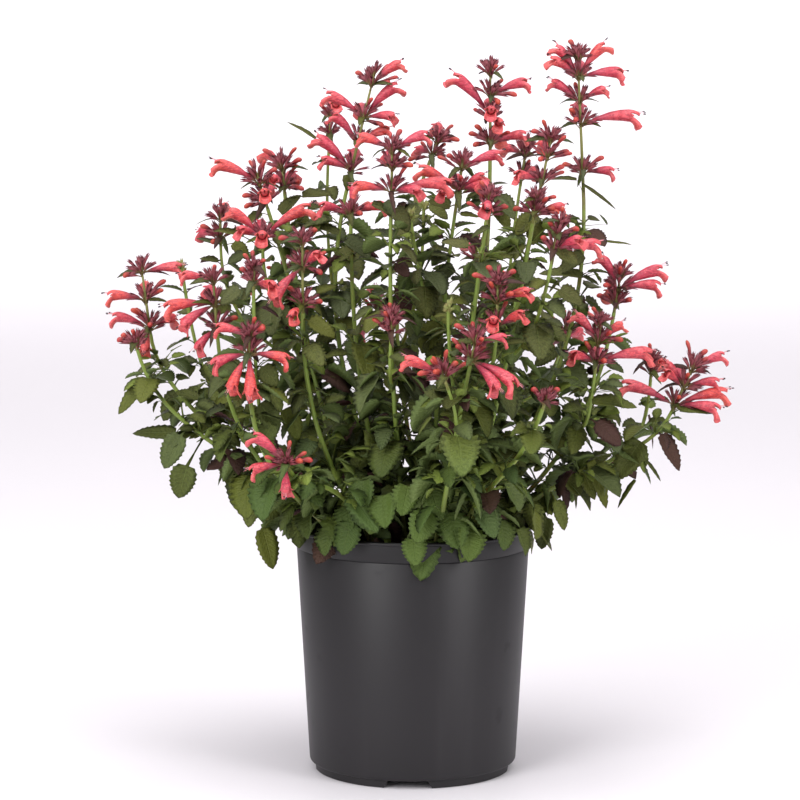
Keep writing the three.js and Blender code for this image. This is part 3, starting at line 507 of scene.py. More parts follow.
def shoot_leaves(shoot, way, draw):
    """The leaf pairs of a shoot, as in the solids."""
    branch = "start" in shoot
    first = BRANCH_PAIR if branch else FIRST_PAIR
    pairs = 1 if branch else max(3, math.floor(way.length / LEAF_SPACING + 0.5))
    phase = draw() * 180
    leaves = []
    for pair in range(pairs):
        share = mix(first, LAST_PAIR, pair / max(1, pairs - 1))
        for turn in (0, 180):
            length = LEAF_LENGTH * (1 - 0.3 * share ** 3) * mix(0.85, 1.12, draw())
            leaves.append(dict(
                at=way.on_stalk(share), root=way.point(share), share=share, length=length,
                bearing=phase + pair * 90 + turn + mix(-18, 18, draw()),
                rise=mix(LOW_DROOP, HIGH_DROOP, share) + mix(-16, 16, draw()),
                roll=mix(-24, 24, draw()), width=length * mix(0.9, 0.64, share),
                petiole=mix(LOW_PETIOLE, HIGH_PETIOLE, share), arch=mix(0.26, 0.16, share)))
    return leaves


def leaf_frame(leaf, turn=(0, 0)):
    """Base, forward, side and up of a leaf's blade at one of its turns."""
    tilt, swing = turn
    bearing = leaf["bearing"] + swing
    forward = direction(bearing, leaf["rise"] + tilt)
    side = Matrix.Rotation(math.radians(leaf["roll"]), 3, forward) @ direction(bearing - 90, 0)
    base = leaf["at"] + direction(bearing, leaf["rise"] / 2 + 34) * leaf["petiole"]
    return base, forward, side, side.cross(forward)


def search_tree(places):
    tree = KDTree(len(places))
    for i, place in enumerate(places):
        tree.insert(place, i)
    tree.balance()
    return tree


def node_tree(name):
    """The corners of a CAD node in millimetres, ready to be searched."""
    return search_tree([vertex.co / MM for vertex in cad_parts[name].data.vertices])


class Plant:
    """The shoots with their curves, their leaves and the turn that each leaf has in the solids."""

    def __init__(self):
        self.shoots = []
        self.ways = {}
        trees = {}
        for index, shoot in enumerate(SHOOTS):
            draw = seeded_draw(7919 * (index + 1))
            name = shoot["stem"]
            branch = "start" in shoot
            way = shoot_way(shoot, self.ways[name] if branch else None)
            if not branch:
                self.ways[name] = way
                trees[name] = node_tree(name)
            turns = [draw() * 2 * math.pi for _ in shoot.get("whorls", ())]
            leaves = []
            for leaf in shoot_leaves(shoot, way, draw):
                for turn in LEAF_TURNS:
                    base, forward, side, up = leaf_frame(leaf, turn)
                    tip = base + forward * leaf["length"] - up * leaf["arch"] * leaf["length"]
                    if trees[name].find(tip)[2] < TIP_MATCH:
                        leaf["frame"] = (base, forward, side, up)
                        leaves.append(leaf)
                        break
            self.shoots.append(dict(shoot=shoot, way=way, turns=turns, leaves=leaves, index=index))


class Term:
    """A shader socket that takes part in Python sums."""

    def __init__(self, graph, socket):
        self.graph = graph
        self.socket = socket

    def _math(self, operation, *others, clamp=False):
        settings = dict(operation=operation, use_clamp=clamp)
        return self.graph.node("Math", settings, dict(enumerate((self, *others))))["Value"]

    def __add__(self, other):
        return self._math("ADD", other)

    __radd__ = __add__

    def __mul__(self, other):
        return self._math("MULTIPLY", other)

    __rmul__ = __mul__

    def __sub__(self, other):
        return self._math("SUBTRACT", other)

    def __rsub__(self, other):
        return self.graph.node("Math", dict(operation="SUBTRACT"), {0: other, 1: self})["Value"]

    def __abs__(self):
        return self._math("ABSOLUTE")

    def fract(self):
        return self._math("FRACT")

    def max(self, other):
        return self._math("MAXIMUM", other)

    def clamped(self):
        return self._math("ADD", 0.0, clamp=True)

    def step(self, low, high):
        """Rises smoothly from 0 to 1 as this goes from low to high."""
        settings = dict(interpolation_type="SMOOTHSTEP")
        inputs = {"Value": self, "From Min": low, "From Max": high}
        return self.graph.node("MapRange", settings, inputs)["Result"]


class Graph:
    """One material's nodes."""

    def __init__(self, name):
        self.material = bpy.data.materials.new(name)
        self.material.use_nodes = True
        self.tree = self.material.node_tree
        self.shader = self.tree.nodes["Principled BSDF"]

    def node(self, kind, settings=None, inputs=None):
        """Adds a node with its settings and the values or links of its sockets; gives its outputs."""
        made = self.tree.nodes.new("ShaderNode" + kind)
        for key, value in (settings or {}).items():
            setattr(made, key, value)
        for key, value in (inputs or {}).items():
            self.feed(made.inputs[key], value)
        return {out.name: Term(self, out) for out in made.outputs if out.enabled}

    def feed(self, socket, value):
        if isinstance(value, Term):
            self.tree.links.new(value.socket, socket)
        else:
            socket.default_value = value

    def colour_mix(self, share, one, two):
        """A colour that goes from one to two."""
        made = self.tree.nodes.new("ShaderNodeMix")
        made.data_type = "RGBA"
        self.feed(made.inputs["Factor"], share)
        for socket, value in zip([s for s in made.inputs if s.type == "RGBA"], (one, two)):
            self.feed(socket, value if isinstance(value, Term) else (*value, 1))
        return Term(self, next(s for s in made.outputs if s.type == "RGBA"))

    def layers(self, tone, *over):
        """A colour with others laid over it, each as (share, colour)."""
        for share, colour in over:
            tone = self.colour_mix(share, tone, colour)
        return tone

    def place(self):
        return self.node("TexCoord")["Object"]

    def split_place(self):
        split = self.node("SeparateXYZ", None, {"Vector": self.place()})
        return split["X"], split["Y"], split["Z"]

    def rescaled_height(self, scale):
        """The place with its height scaled: below 1 a pattern is drawn out upwards."""
        return self.node("Mapping", None, {"Vector": self.place(), "Scale": (1, 1, scale)})["Vector"]

    def noise(self, scale, detail=3.0, vector=None):
        """Noise between 0 and 1, its scale in waves a metre."""
        inputs = {"Vector": vector or self.place(), "Scale": scale, "Detail": detail}
        return self.node("TexNoise", None, inputs)["Fac"]

    def look(self):
        """A copy's draw, its mask and its kind, from its look attribute."""
        made = self.node("Attribute", dict(attribute_name="look"))
        split = self.node("SeparateColor", None, {"Color": made["Color"]})
        return split["Red"], split["Green"], split["Blue"]

    def uv(self):
        split = self.node("SeparateXYZ", None, {"Vector": self.node("TexCoord")["UV"]})
        return split["X"], split["Y"]

    def bump(self, height, strength, distance):
        inputs = {"Height": height, "Strength": strength, "Distance": distance}
        return self.node("Bump", None, inputs)["Normal"]

    def finish(self, **sockets):
        """Sets the shader's sockets, named with _ for a space, and gives the material."""
        for key, value in sockets.items():
            self.feed(self.shader.inputs[key.replace("_", " ")], value)
        return self.material


# Modelling helpers


def fresh():
    """Leaves no mode open and nothing selected."""
    if bpy.context.object and bpy.context.object.mode != "OBJECT":
        bpy.ops.object.mode_set(mode="OBJECT")
    bpy.ops.object.select_all(action="DESELECT")


def alone(obj):
    """Leaves this object active and the only one selected."""
    fresh()
    bpy.context.view_layer.objects.active = obj
    obj.select_set(True)


def edit(obj):
    alone(obj)
    bpy.ops.object.mode_set(mode="EDIT")


def pick(test):
    """In edit mode, selects the corners that pass the test."""
    mesh = bmesh.from_edit_mesh(bpy.context.object.data)
    bpy.ops.mesh.select_all(action="DESELECT")
    for vertex in mesh.verts:
        vertex.select_set(test(vertex.co))
    mesh.select_flush(True)
    bmesh.update_edit_mesh(bpy.context.object.data)


def drop_outline():
    """In edit mode, leaves out of the selection the corners on the sheet's open edge."""
    mesh = bmesh.from_edit_mesh(bpy.context.object.data)
    for vertex in [v for v in mesh.verts if v.select and v.is_boundary]:
        vertex.select_set(False)
    mesh.select_flush(False)
    bmesh.update_edit_mesh(bpy.context.object.data)


def done(obj, name):
    """Closes edit mode, names the piece and leaves its place in its mesh."""
    bpy.ops.object.mode_set(mode="OBJECT")
    bpy.ops.object.transform_apply(location=True, rotation=True, scale=True)
    obj.name = obj.data.name = name
    return obj


def corners_of(mesh):
    places = np.empty(len(mesh.vertices) * 3)
    mesh.vertices.foreach_get("co", places)
    return places.reshape(-1, 3)


def copy_of(master, places, colour=None):
    """A copy of a master with its own mesh, its corners at the given places in millimetres."""
    mesh = master.data.copy()
    mesh.vertices.foreach_set("co", (np.asarray(places) * MM).ravel())
    if colour is not None:
        look = mesh.attributes["look"]
        values = np.empty(len(look.data) * 4, np.float32)
        look.data.foreach_get("color", values)
        values = values.reshape(-1, 4)
        values[:, 0] = colour[0]
        values[:, 2] = colour[1]
        look.data.foreach_set("color", values.ravel())
    obj = bpy.data.objects.new("copy", mesh)
    bpy.context.collection.objects.link(obj)
    return obj


def joined(copies, name, material, node):
    """One piece made of copies, that stands for a node."""
    fresh()
    for obj in copies:
        obj.select_set(True)
    bpy.context.view_layer.objects.active = copies[0]
    if len(copies) > 1:
        bpy.ops.object.join()
    piece = bpy.context.view_layer.objects.active
    piece.name = piece.data.name = name
    piece.data.materials.clear()
    piece.data.materials.append(material)
    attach(piece, "root")
    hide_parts(node)
    fresh()


def add_look(obj, green):
    """Gives a master its look attribute: a draw, a mask and a kind, to be filled in on each copy."""
    look = obj.data.attributes.new("look", "FLOAT_COLOR", "CORNER")
    values = np.zeros((len(look.data), 4), np.float32)
    values[:, 1] = green
    values[:, 3] = 1
    look.data.foreach_set("color", values.ravel())


def smooth(obj):
    for face in obj.data.polygons:
        face.use_smooth = True


def remove(objects):
    for obj in objects:
        bpy.data.objects.remove(obj)


# Masters


def leaf_rows(teeth):
    """The rows of a leaf from its root up, as (place along, half width): petiole, blade and tip."""
    rows = [(-1, 1), (-0.45, 0.8), (0, 0.13)]
    for tooth in range(teeth):
        for step, depth in TOOTH_STEPS:
            along = 0.05 + 0.9 * (tooth + step) / teeth
            rows.append((along, depth * math.sin(math.pi * along ** 0.6) ** 0.72))
    return rows + [(1, 0.03)]


def leaf_master(name, teeth, columns):
    """A toothed leaf, closed and thin, its outline shared by its two faces."""
    rows = leaf_rows(teeth)
    fresh()
    bpy.ops.mesh.primitive_grid_add(x_subdivisions=columns, y_subdivisions=len(rows) - 1, size=2)
    obj = bpy.context.object
    edit(obj)
    away = 10
    for i, (along, half) in enumerate(rows):
        level = -1 + 2 * i / (len(rows) - 1)
        pick(lambda co: abs(co.y - level) < 1e-4)
        bpy.ops.transform.resize(value=(half, 1, 1), center_override=(0, level, 0))
        bpy.ops.transform.translate(value=(0, along - level + away, 0))
    bpy.ops.mesh.select_all(action="SELECT")
    bpy.ops.transform.translate(value=(0, -away, 0))
    bpy.ops.mesh.duplicate()
    bpy.ops.mesh.flip_normals()
    drop_outline()
    bpy.ops.transform.translate(value=(0, 0, -0.5))
    pick(lambda co: co.z > -0.25)
    drop_outline()
    bpy.ops.transform.translate(value=(0, 0, 0.5))
    bpy.ops.mesh.select_all(action="SELECT")
    bpy.ops.mesh.remove_doubles(threshold=1e-4)
    done(obj, name)
    smooth(obj)
    under = np.zeros(len(obj.data.loops), np.float32)
    for face in obj.data.polygons:
        if face.center.z < 0:
            under[list(face.loop_indices)] = 1
    add_look(obj, under)
    obj.hide_render = True
    return obj


def ring_master(sides, rings, closed=True):
    """In edit mode, a tube along +Y through rings given as (place along, radius)."""
    fresh()
    bpy.ops.mesh.primitive_circle_add(
        vertices=sides, radius=rings[0][1], fill_type="NGON" if closed else "NOTHING",
        rotation=(math.radians(90), 0, 0))
    obj = bpy.context.object
    bpy.ops.object.transform_apply(location=True, rotation=True, scale=True)
    edit(obj)
    bpy.ops.mesh.select_all(action="SELECT")
    bpy.ops.transform.translate(value=(0, rings[0][0], 0))
    for (low, before), (high, radius) in zip(rings, rings[1:]):
        bpy.ops.mesh.extrude_region_move(TRANSFORM_OT_translate=dict(value=(0, high - low, 0)))
        size = radius / before
        bpy.ops.transform.resize(value=(size, 1, size), center_override=(0, high, 0))
    return obj


def master_done(obj, name, mask=None):
    """Closes a master: normals out, smooth, its look attribute filled from a test of its corners' places."""
    bpy.ops.mesh.select_all(action="SELECT")
    bpy.ops.mesh.normals_make_consistent(inside=False)
    done(obj, name)
    smooth(obj)
    values = [mask(obj.data.vertices[loop.vertex_index].co) if mask else 0 for loop in obj.data.loops]
    add_look(obj, values)
    obj.hide_render = True
    return obj


def angle_of(co):
    return math.degrees(math.atan2(co.z, co.x)) % 360


def calyx_master():
    """A slender calyx with five pointed teeth on a short stalk: its length runs from 0 to 1, with the stalk
    before 0, and its radius is in millimetres."""
    sides, rim = 10, 0.7

    def tooth(co):
        return int(angle_of(co) // (360 / sides)) % 2 == 0
    obj = ring_master(sides, ((-0.4, 0.4), (0, 0.5), (0.3, 1.2), (rim, 1.55), (0.58, 1.0)))
    pick(lambda co: abs(co.y - rim) < 1e-3 and tooth(co))
    bpy.ops.transform.translate(value=(0, 0.3, 0))
    bpy.ops.transform.resize(value=(0.95, 1, 0.95), center_override=(0, 1, 0))
    pick(lambda co: 0.1 < co.y < 0.5 and not tooth(co))
    bpy.ops.transform.resize(value=(0.82, 1, 0.82), center_override=(0, 0, 0))
    return master_done(obj, "calyx_master", lambda co: min(1.0, max(0.0, 0.9 - co.y * 4)))


def rachis_master():
    """The stem inside a head, tapering: its length runs from 0 to 1, its radius in millimetres."""
    rings = ((0, 1.2), (0.45, 1.0), (0.96, 0.75), (1, 0.3))
    return master_done(ring_master(8, rings), "rachis_master", lambda co: 1.0)


def bud_master():
    """A closed bud, a slim club: its length runs from 0 to 1, its radius in millimetres."""
    rings = ((0, 0.6), (0.4, 1.0), (0.68, 1.6), (0.86, 1.9), (0.96, 1.3), (1, 0.3))
    return master_done(ring_master(7, rings), "bud_master", lambda co: co.y)


def draw_out(steps):
    """In edit mode, extrudes the selected edges in steps of (ahead, down, turn, width, depth), each turned
    about the width of the flower, so that a lip keeps its hollow while it bends."""
    for ahead, down, turn, wide, deep in steps:
        bpy.ops.mesh.extrude_region_move(TRANSFORM_OT_translate=dict(value=(0, ahead, -down)))
        middle = middle_of_selection()
        bpy.ops.transform.rotate(value=math.radians(turn), orient_axis="X", center_override=middle)
        bpy.ops.transform.resize(value=(wide, deep, 1), center_override=middle)


def corolla_master():
    """An open flower: a slender tube that widens and splits into a hooded upper lip, held forward, two small
    side lobes and a broad hollow lower lip that opens downwards. Modelled in millimetres, then its length is
    made 1."""
    rings = ((4, 1.0), (9, 1.5), (13, 2.3), (18.5, 3.0), (23, 3.4))
    obj = ring_master(12, rings, closed=False)
    mouth = rings[-1][0]

    def pick_mouth(low, high):
        """The mouth's corners from one angle round to another, in degrees."""
        pick(lambda co: abs(co.y - mouth) < 1e-3 and 0 < (angle_of(co) - low) % 360 < high - low)
    pick_mouth(25, 155)
    draw_out(((2.2, 0.1, 0, 0.95, 1), (1.9, 0.5, 8, 0.8, 1), (1.2, 0.8, 14, 0.5, 1)))
    pick_mouth(175, 365)
    draw_out(((1.6, 0.8, 20, 1, 1.05), (1.4, 1.5, 20, 1.15, 1.2), (0.7, 1.9, 16, 1.1, 1.2),
              (-0.1, 1.3, 8, 0.6, 0.55)))
    for out, low, high in ((-1, 145, 185), (1, -5, 35)):
        pick_mouth(low, high)
        bpy.ops.mesh.extrude_region_move(TRANSFORM_OT_translate=dict(value=(out * 1.7, 1.9, -0.7)))
        bpy.ops.transform.resize(value=(1, 1, 0.6), center_override=middle_of_selection())
    bpy.ops.mesh.select_all(action="SELECT")
    bpy.ops.mesh.normals_make_consistent(inside=False)
    done(obj, "corolla_master")
    outside = search_tree(corners_of(obj.data))
    wall = obj.modifiers.new("wall", "SOLIDIFY")
    wall.thickness = FLOWER_WALL
    wall.offset = -1
    alone(obj)
    bpy.ops.object.modifier_apply(modifier=wall.name)
    edit(obj)
    bpy.ops.mesh.select_all(action="SELECT")
    bpy.ops.transform.resize(value=(1, 1 / FLOWER_LENGTH, 1), center_override=(0, 0, 0))

    def shade(co):
        """Up to a half along the outside, and 1 in the throat, where the flower's material paints shade."""
        place = Vector((co.x, co.y * FLOWER_LENGTH, co.z))
        inside = outside.find(place)[2] > FLOWER_WALL / 4 and 9 < place.y < 25
        return 1.0 if inside else co.y * 0.5
    return master_done(obj, "corolla_master", shade)


def middle_of_selection():
    """In edit mode, the middle of the selected corners."""
    mesh = bmesh.from_edit_mesh(bpy.context.object.data)
    chosen = [v.co.copy() for v in mesh.verts if v.select]
    return sum(chosen, Vector()) / len(chosen)


def stamen_master():
    """A stamen along +Y: a thread with its anther, its length from 0 to 1, its section in millimetres."""
    rings = ((0, 0.22), (0.5, 0.2), (0.84, 0.2), (0.86, 0.55), (1, 0.45))
    return master_done(ring_master(4, rings), "stamen_master", lambda co: float(co.y > 0.85))


# Placing the copies


def placed_leaf(master, root, frame_of_leaf, length, width, arch, draw, kind=GREEN):
    """A leaf from its root on the stem: its petiole runs to its base and its blade follows the frame, folded
    along its midrib, waved and twisted by chance."""
    base, forward, side, up = (np.array(v) for v in frame_of_leaf)
    form = corners_of(master.data)
    x, y, z = form[:, 0], form[:, 1], form[:, 2]
    half = np.abs(x)
    blade = y >= 0
    fold = mix(0.05, 0.3, draw()) * width
    wave = mix(-0.05, 0.05, draw()) * width
    twist = mix(-0.25, 0.25, draw())
    tooth_lean, heart = 0.14 * y, 0.1 * (1 - y) ** 3
    along = np.where(blade, y + half * (tooth_lean - heart), y)
    thick = np.where(blade, BLADE_THICKNESS, 1.0)
    curl = fold * half ** 1.3 + wave * half * np.sin(y * 11) + twist * x * y * width / 2
    lift = thick * z + np.where(blade, curl, 0)
    drop = np.where(blade, arch * along * np.abs(along) * length, 0)
    across = x * np.where(blade, width / 2, PETIOLE_HALF)
    on_blade = base + np.outer(np.maximum(along, 0) * length, forward) - np.outer(drop, up)
    foot = np.array(root)
    bow = np.sin(np.pi * (1 + y)) * 0.8
    on_petiole = foot + np.outer(1 + y, base - foot) + np.outer(bow, up)
    centre = np.where(blade[:, None], on_blade, on_petiole)
    places = centre + np.outer(across, side) + np.outer(lift, up)
    return copy_of(master, places, (draw(), kind))


def tube_places(master, origin, forward, length, thickness, bow=0.0, roll=0.0):
    """The corners of a master that runs from 0 to 1 along +Y, laid along a slightly bowed line and rolled
    about it."""
    form = corners_of(master.data)
    forward = forward.normalized()
    level = Vector((forward.y, -forward.x, 0))
    side = level.normalized() if level.length > 1e-3 else Vector((1, 0, 0))
    up = side.cross(forward)
    share = form[:, 1]
    centre = np.array(origin) + np.outer(share * length, forward)
    centre += np.outer(bow * length * share * (1 - share), up)
    turn = Quaternion(forward, math.radians(roll))
    across = np.outer(form[:, 0] * thickness, turn @ side)
    return centre + across + np.outer(form[:, 2] * thickness, turn @ up)


def stalk_copy(way, width, end_width, section):
    """A square stem with rounded edges along a curve, tapering to its end."""
    fresh()
    bpy.ops.curve.primitive_bezier_curve_add()
    obj = bpy.context.object
    line = obj.data
    line.dimensions = "3D"
    line.bevel_mode = "OBJECT"
    line.bevel_object = section
    line.use_fill_caps = True
    line.resolution_u = max(8, round(way.length / 8))
    first, last = line.splines[0].bezier_points
    start, leave, arrive, end = (p * MM for p in way.points)
    for point, place, before, after in (
            (first, start, start * 2 - leave, leave), (last, end, arrive, end * 2 - arrive)):
        point.handle_left_type = point.handle_right_type = "FREE"
        point.co, point.handle_left, point.handle_right = place, before, after
    first.radius, last.radius = width, end_width
    bpy.ops.object.convert(target="MESH")
    made = bpy.context.object
    bpy.ops.object.transform_apply(location=True, rotation=True, scale=True)
    edit(made)
    bpy.ops.mesh.select_all(action="SELECT")
    bpy.ops.mesh.remove_doubles(threshold=1e-6)
    bpy.ops.mesh.normals_make_consistent(inside=False)
    done(made, "stalk")
    bpy.ops.object.shade_smooth_by_angle(angle=math.radians(40))
    return made


def stem_section():
    """The section of a stem one millimetre wide: a square with rounded corners."""
    fresh()
    bpy.ops.curve.primitive_bezier_circle_add(radius=0.5 * MM)
    obj = bpy.context.object
    obj.data.resolution_u = 4
    for point in obj.data.splines[0].bezier_points:
        point.handle_left_type = point.handle_right_type = "FREE"
        for handle in ("handle_left", "handle_right"):
            setattr(point, handle, point.co + (getattr(point, handle) - point.co) * CORNER_REACH)
    obj.hide_render = True
    return obj


# Materials


def pot_material(colours):
    """Satin plastic, faintly clouded and scuffed, streaked down the wall in part wear and part painted
    highlight, with a band of painted shade.
    """
    g = Graph("charcoal plastic")
    cloud = g.noise(9, 4)
    grain = g.noise(2600, 2)
    scuff = g.noise(60, 6).step(0.62, 0.78)
    # Lighter streaks drawn out down the wall: partly wear, partly a painted highlight
    streak = g.noise(34, 3, g.rescaled_height(0.05)).step(0.48, 0.7)
    height = g.split_place()[2]
    # Painted shade on the band under the lip, as the overhanging leaves cast it
    band = height.step((BAND_BOTTOM - 0.5) * MM, (BAND_BOTTOM + 0.5) * MM)
    base = linear(colours.pot_colour)
    lighter = tuple(c * 1.5 + 0.01 for c in base)
    tone = g.layers(
        base,
        (cloud * 0.3 + scuff * 0.15 + streak * 0.4, lighter),
        (band * 0.9, dimmed(base, 0.3)))
    return g.finish(
        Base_Color=tone, Roughness=cloud * 0.1 + scuff * 0.12 + 0.42,
        Normal=g.bump(grain * 0.4 + cloud * 0.6, 0.1, 0.0004), Specular_IOR_Level=0.42)


def compost_material(colours):
    """Dark crumbs with a few pale flecks."""
    g = Graph("moist compost")
    crumb = g.noise(420, 5)
    fleck = g.noise(900, 2).step(0.66, 0.72)
    base = linear(colours.compost_colour)
    straw = (0.16, 0.11, 0.07)
    tone = g.layers(dimmed(base, 0.4), (crumb.step(0.3, 0.75), base), (fleck * 0.6, straw))
    return g.finish(Base_Color=tone, Roughness=0.95, Normal=g.bump(crumb, 0.8, 0.002))


def stem_material(colours):
    """Yellow-green, browner at the foot and flushed with plum towards the flowers."""
    g = Graph("square green stem")
    height = g.split_place()[2]
    streak = g.noise(140, 3)
    brown, plum, pale = (0.11, 0.08, 0.035), (0.12, 0.035, 0.04), linear((0.53, 0.61, 0.27))
    flush = height.step(0.30, 0.42) * streak.step(0.45, 0.7) * 0.75
    tone = g.layers(
        brown,
        (height.step(0.15, 0.23), linear(colours.stem_colour)),
        (flush.clamped(), plum),
        (streak * 0.3, pale))
    return g.finish(Base_Color=tone, Roughness=0.55, Normal=g.bump(streak, 0.2, 0.0003),
                    Subsurface_Weight=0.05)


def leaf_material(colours):
    """Green with paler veins and edges and paler under, turning olive upwards and fresher low in front. Each
    leaf leans to its own side of it, and some are flushed with purple or young and yellow-green."""
    g = Graph("toothed leaf")
    draw, under, kind = g.look()
    across, along = g.uv()
    half = abs(across - 0.5) * 2
    midrib = 1 - half.step(0.015, 0.07)
    ribs = abs((along * (TEETH + 1.5) - half * 1.35).fract() - 0.5) * 2
    side_veins = (1 - (1 - ribs).step(0.05, 0.26)) * half.step(0.95, 0.75)
    veins = midrib.max(side_veins * 0.65)
    edge = half.step(0.88, 1.0)
    net = g.noise(620, 3)
    quilt = ribs * 0.5 + net * 0.9 - veins * 0.8
    patch = g.noise(38, 3)
    _, depth, height = g.split_place()
    low_in_front = (1 - height.step(0.2, 0.28)) * (1 - depth.step(-0.1, -0.02))
    lean = (draw * 7.3).fract()
    tones = linear_tones(LEAF_TONES)
    deep = linear(colours.leaf_deep)
    blade = g.layers(
        deep,
        ((draw * 0.75 + patch * 0.5 - 0.2).clamped(), linear(colours.leaf_bright)),
        (height.step(0.23, 0.36) * 0.6, tones["olive"]),
        ((veins * 0.2 + edge * 0.25).clamped(), tones["vein"]),
        (net.step(0.45, 0.65) * 0.4, dimmed(deep, 0.45)),
        (lean.step(0.5, 1.0) * 0.6, tones["grey"]),
        ((1 - lean).step(0.6, 1.0) * 0.5, tones["yellow"]),
        (low_in_front * 0.6, tones["fresh"]))
    back = g.colour_mix(veins * 0.4, tones["back"], tones["back_vein"])
    is_purple = (kind - 0.5).step(0.0, 0.1)
    is_young = kind.step(0.15, 0.2) * (1 - kind.step(0.35, 0.4))
    tone = g.layers(
        blade,
        (under, back),
        (is_purple * (under * 0.1 + 0.85), tones["purple"]),
        (is_young * 0.7, tones["young"]))
    return g.finish(Base_Color=tone, Roughness=0.62 - veins * 0.08, Normal=g.bump(quilt, 0.6, 0.001),
                    Specular_IOR_Level=0.25)


def calyx_material(colours):
    """Plum, clouded darker, with a green foot. Some are rosier, and unopened ones and the stalk greener."""
    g = Graph("plum calyx")
    draw, foot, kind = g.look()
    cloud = g.noise(420, 3)
    plum = linear(colours.calyx_colour)
    tone = g.layers(
        plum,
        ((draw * 0.7 + cloud * 0.4 - 0.2).clamped(), dimmed(plum, 0.42)),
        (draw.step(0.75, 0.9) * 0.4, linear((0.66, 0.34, 0.38))),
        (foot * 0.75, linear((0.42, 0.42, 0.20))),
        (kind, linear((0.50, 0.54, 0.27))))
    return g.finish(Base_Color=tone, Roughness=0.6, Normal=g.bump(cloud, 0.3, 0.0002))


def flower_material(colours):
    """Coral, streaked, with pale flecks of painted glint, leaning to orange or magenta, darker at the foot
    and with painted shade in the throat; buds are redder, and stamens pale with a dark anther."""
    g = Graph("coral corolla")
    draw, along, kind = g.look()
    cloud = g.noise(260, 3)
    streak = 1 - g.noise(360, 4, g.rescaled_height(2.6)).step(0.4, 0.54)
    # Pale flecks: painted glints on the petals
    fleck = g.noise(1500, 2).step(0.62, 0.7)
    tones = linear_tones(FLOWER_TONES)
    open_flower = g.layers(
        linear(colours.flower_colour),
        (cloud.step(0.3, 0.7) * 0.7, linear(colours.flower_edge_colour)),
        (draw.step(0.45, 1.0) * 0.6, tones["orange"]),
        ((1 - draw).step(0.45, 1.0) * 0.5, tones["magenta"]),
        (streak * 0.6, tones["streak"]),
        (fleck * 0.45, tones["fleck"]),
        ((1 - along.step(0.12, 0.3)) * 0.6, tones["foot"]),
        (along.step(0.38, 0.46) * 0.4, tones["lip"]),
        # Painted shade in the throat
        (along.step(0.6, 0.9) * 0.8, tones["throat"]))
    bud_tip = g.colour_mix(draw * 0.7, linear(colours.bud_colour), tones["dull_bud"])
    bud = g.colour_mix(along.step(0.5, 1.0), tones["bud_foot"], bud_tip)
    stamen = g.colour_mix(along, tones["thread"], tones["anther"])
    tone = g.layers(open_flower, (kind.step(0.2, 0.3), bud), (kind.step(0.7, 0.8), stamen))
    return g.finish(Base_Color=tone, Roughness=0.48, Normal=g.bump(cloud, 0.15, 0.0003),
                    Subsurface_Weight=0.08)


def studio_material():
    g = Graph("pale floor")
    veil = g.noise(1.2, 2)
    tone = g.colour_mix(veil * 0.3, (0.70, 0.67, 0.705), (0.73, 0.70, 0.735))
    return g.finish(Base_Color=tone, Roughness=0.6, Specular_IOR_Level=0.2)


# Settings


def colour_property(name, description, default):
    return FloatVectorProperty(
        name=name, description=description, subtype="COLOR_GAMMA", size=3, min=0, max=1, default=default)


class AgastachePotSettings(bpy.types.PropertyGroup):
    pot_colour: colour_property("Pot", "Colour of the pot's plastic", (0.062, 0.048, 0.064))
    compost_colour: colour_property("Compost", "Colour of the compost", (0.30, 0.22, 0.16))
    wall: FloatProperty(name="Wall", description="Thickness of the pot's wall", default=1.7 * MM,
                        unit="LENGTH", subtype="DISTANCE")
    sides: IntProperty(name="Sides", description="Steps round the pot", default=144, min=24)


class AgastacheFoliageSettings(bpy.types.PropertyGroup):
    stem_colour: colour_property("Stem", "Colour of a young stem", (0.43, 0.51, 0.20))
    leaf_deep: colour_property("Deep green", "Darkest leaf green", (0.24, 0.26, 0.09))
    leaf_bright: colour_property("Bright green", "Lightest leaf green", (0.39, 0.425, 0.18))
    axil_share: FloatProperty(
        name="Axil leaves", description="Share of the leaves that carry small leaves in their axil",
        default=0.85, min=0, max=1, subtype="FACTOR")


class AgastacheFlowerSettings(bpy.types.PropertyGroup):
    calyx_colour: colour_property("Calyx", "Colour of the calyces", (0.50, 0.20, 0.24))
    flower_colour: colour_property("Flower", "Colour of the open flowers", (0.72, 0.175, 0.235))
    flower_edge_colour: colour_property("Flower light", "Lightest colour of a flower", (0.90, 0.38, 0.41))
    bud_colour: colour_property("Bud", "Colour of the buds", (0.66, 0.23, 0.15))


class AgastacheStageSettings(bpy.types.PropertyGroup):
    lens: FloatProperty(name="Lens", description="Focal length of the camera", default=135.5, min=20)
    camera_height: FloatProperty(
        name="Camera height", description="Height of the camera above the floor", default=0.515,
        unit="LENGTH", subtype="DISTANCE")
    camera_distance: FloatProperty(
        name="Camera distance", description="Distance from the camera to the pot's axis", default=2.1,
        unit="LENGTH", subtype="DISTANCE")


# Pot and compost


def spun(name, profile, steps):
    """A closed body turned from a half outline of (radius, height) points in millimetres."""
    fresh()
    bpy.ops.mesh.primitive_plane_add(size=MM)
    obj = bpy.context.object
    edit(obj)
    bpy.ops.mesh.select_all(action="SELECT")
    bpy.ops.mesh.merge(type="CENTER")
    radius, height = profile[0]
    bpy.ops.transform.translate(value=(radius * MM, 0, height * MM))
    for (r0, h0), (r1, h1) in zip(profile, profile[1:]):
        bpy.ops.mesh.extrude_region_move(
            TRANSFORM_OT_translate=dict(value=((r1 - r0) * MM, 0, (h1 - h0) * MM)))
    bpy.ops.mesh.select_all(action="SELECT")
    bpy.ops.mesh.spin(steps=steps, angle=2 * math.pi, center=(0, 0, 0), axis=(0, 0, 1))
    bpy.ops.mesh.select_all(action="SELECT")
    bpy.ops.mesh.remove_doubles(threshold=1e-6)
    bpy.ops.mesh.normals_make_consistent(inside=False)
    return done(obj, name)


def arc(centre, radius, start, end, steps):
    """Points of a round stretch of an outline, between two angles in degrees."""
    angles = (math.radians(mix(start, end, i / steps)) for i in range(steps + 1))
    return [(centre[0] + radius * math.cos(a), centre[1] + radius * math.sin(a)) for a in angles]


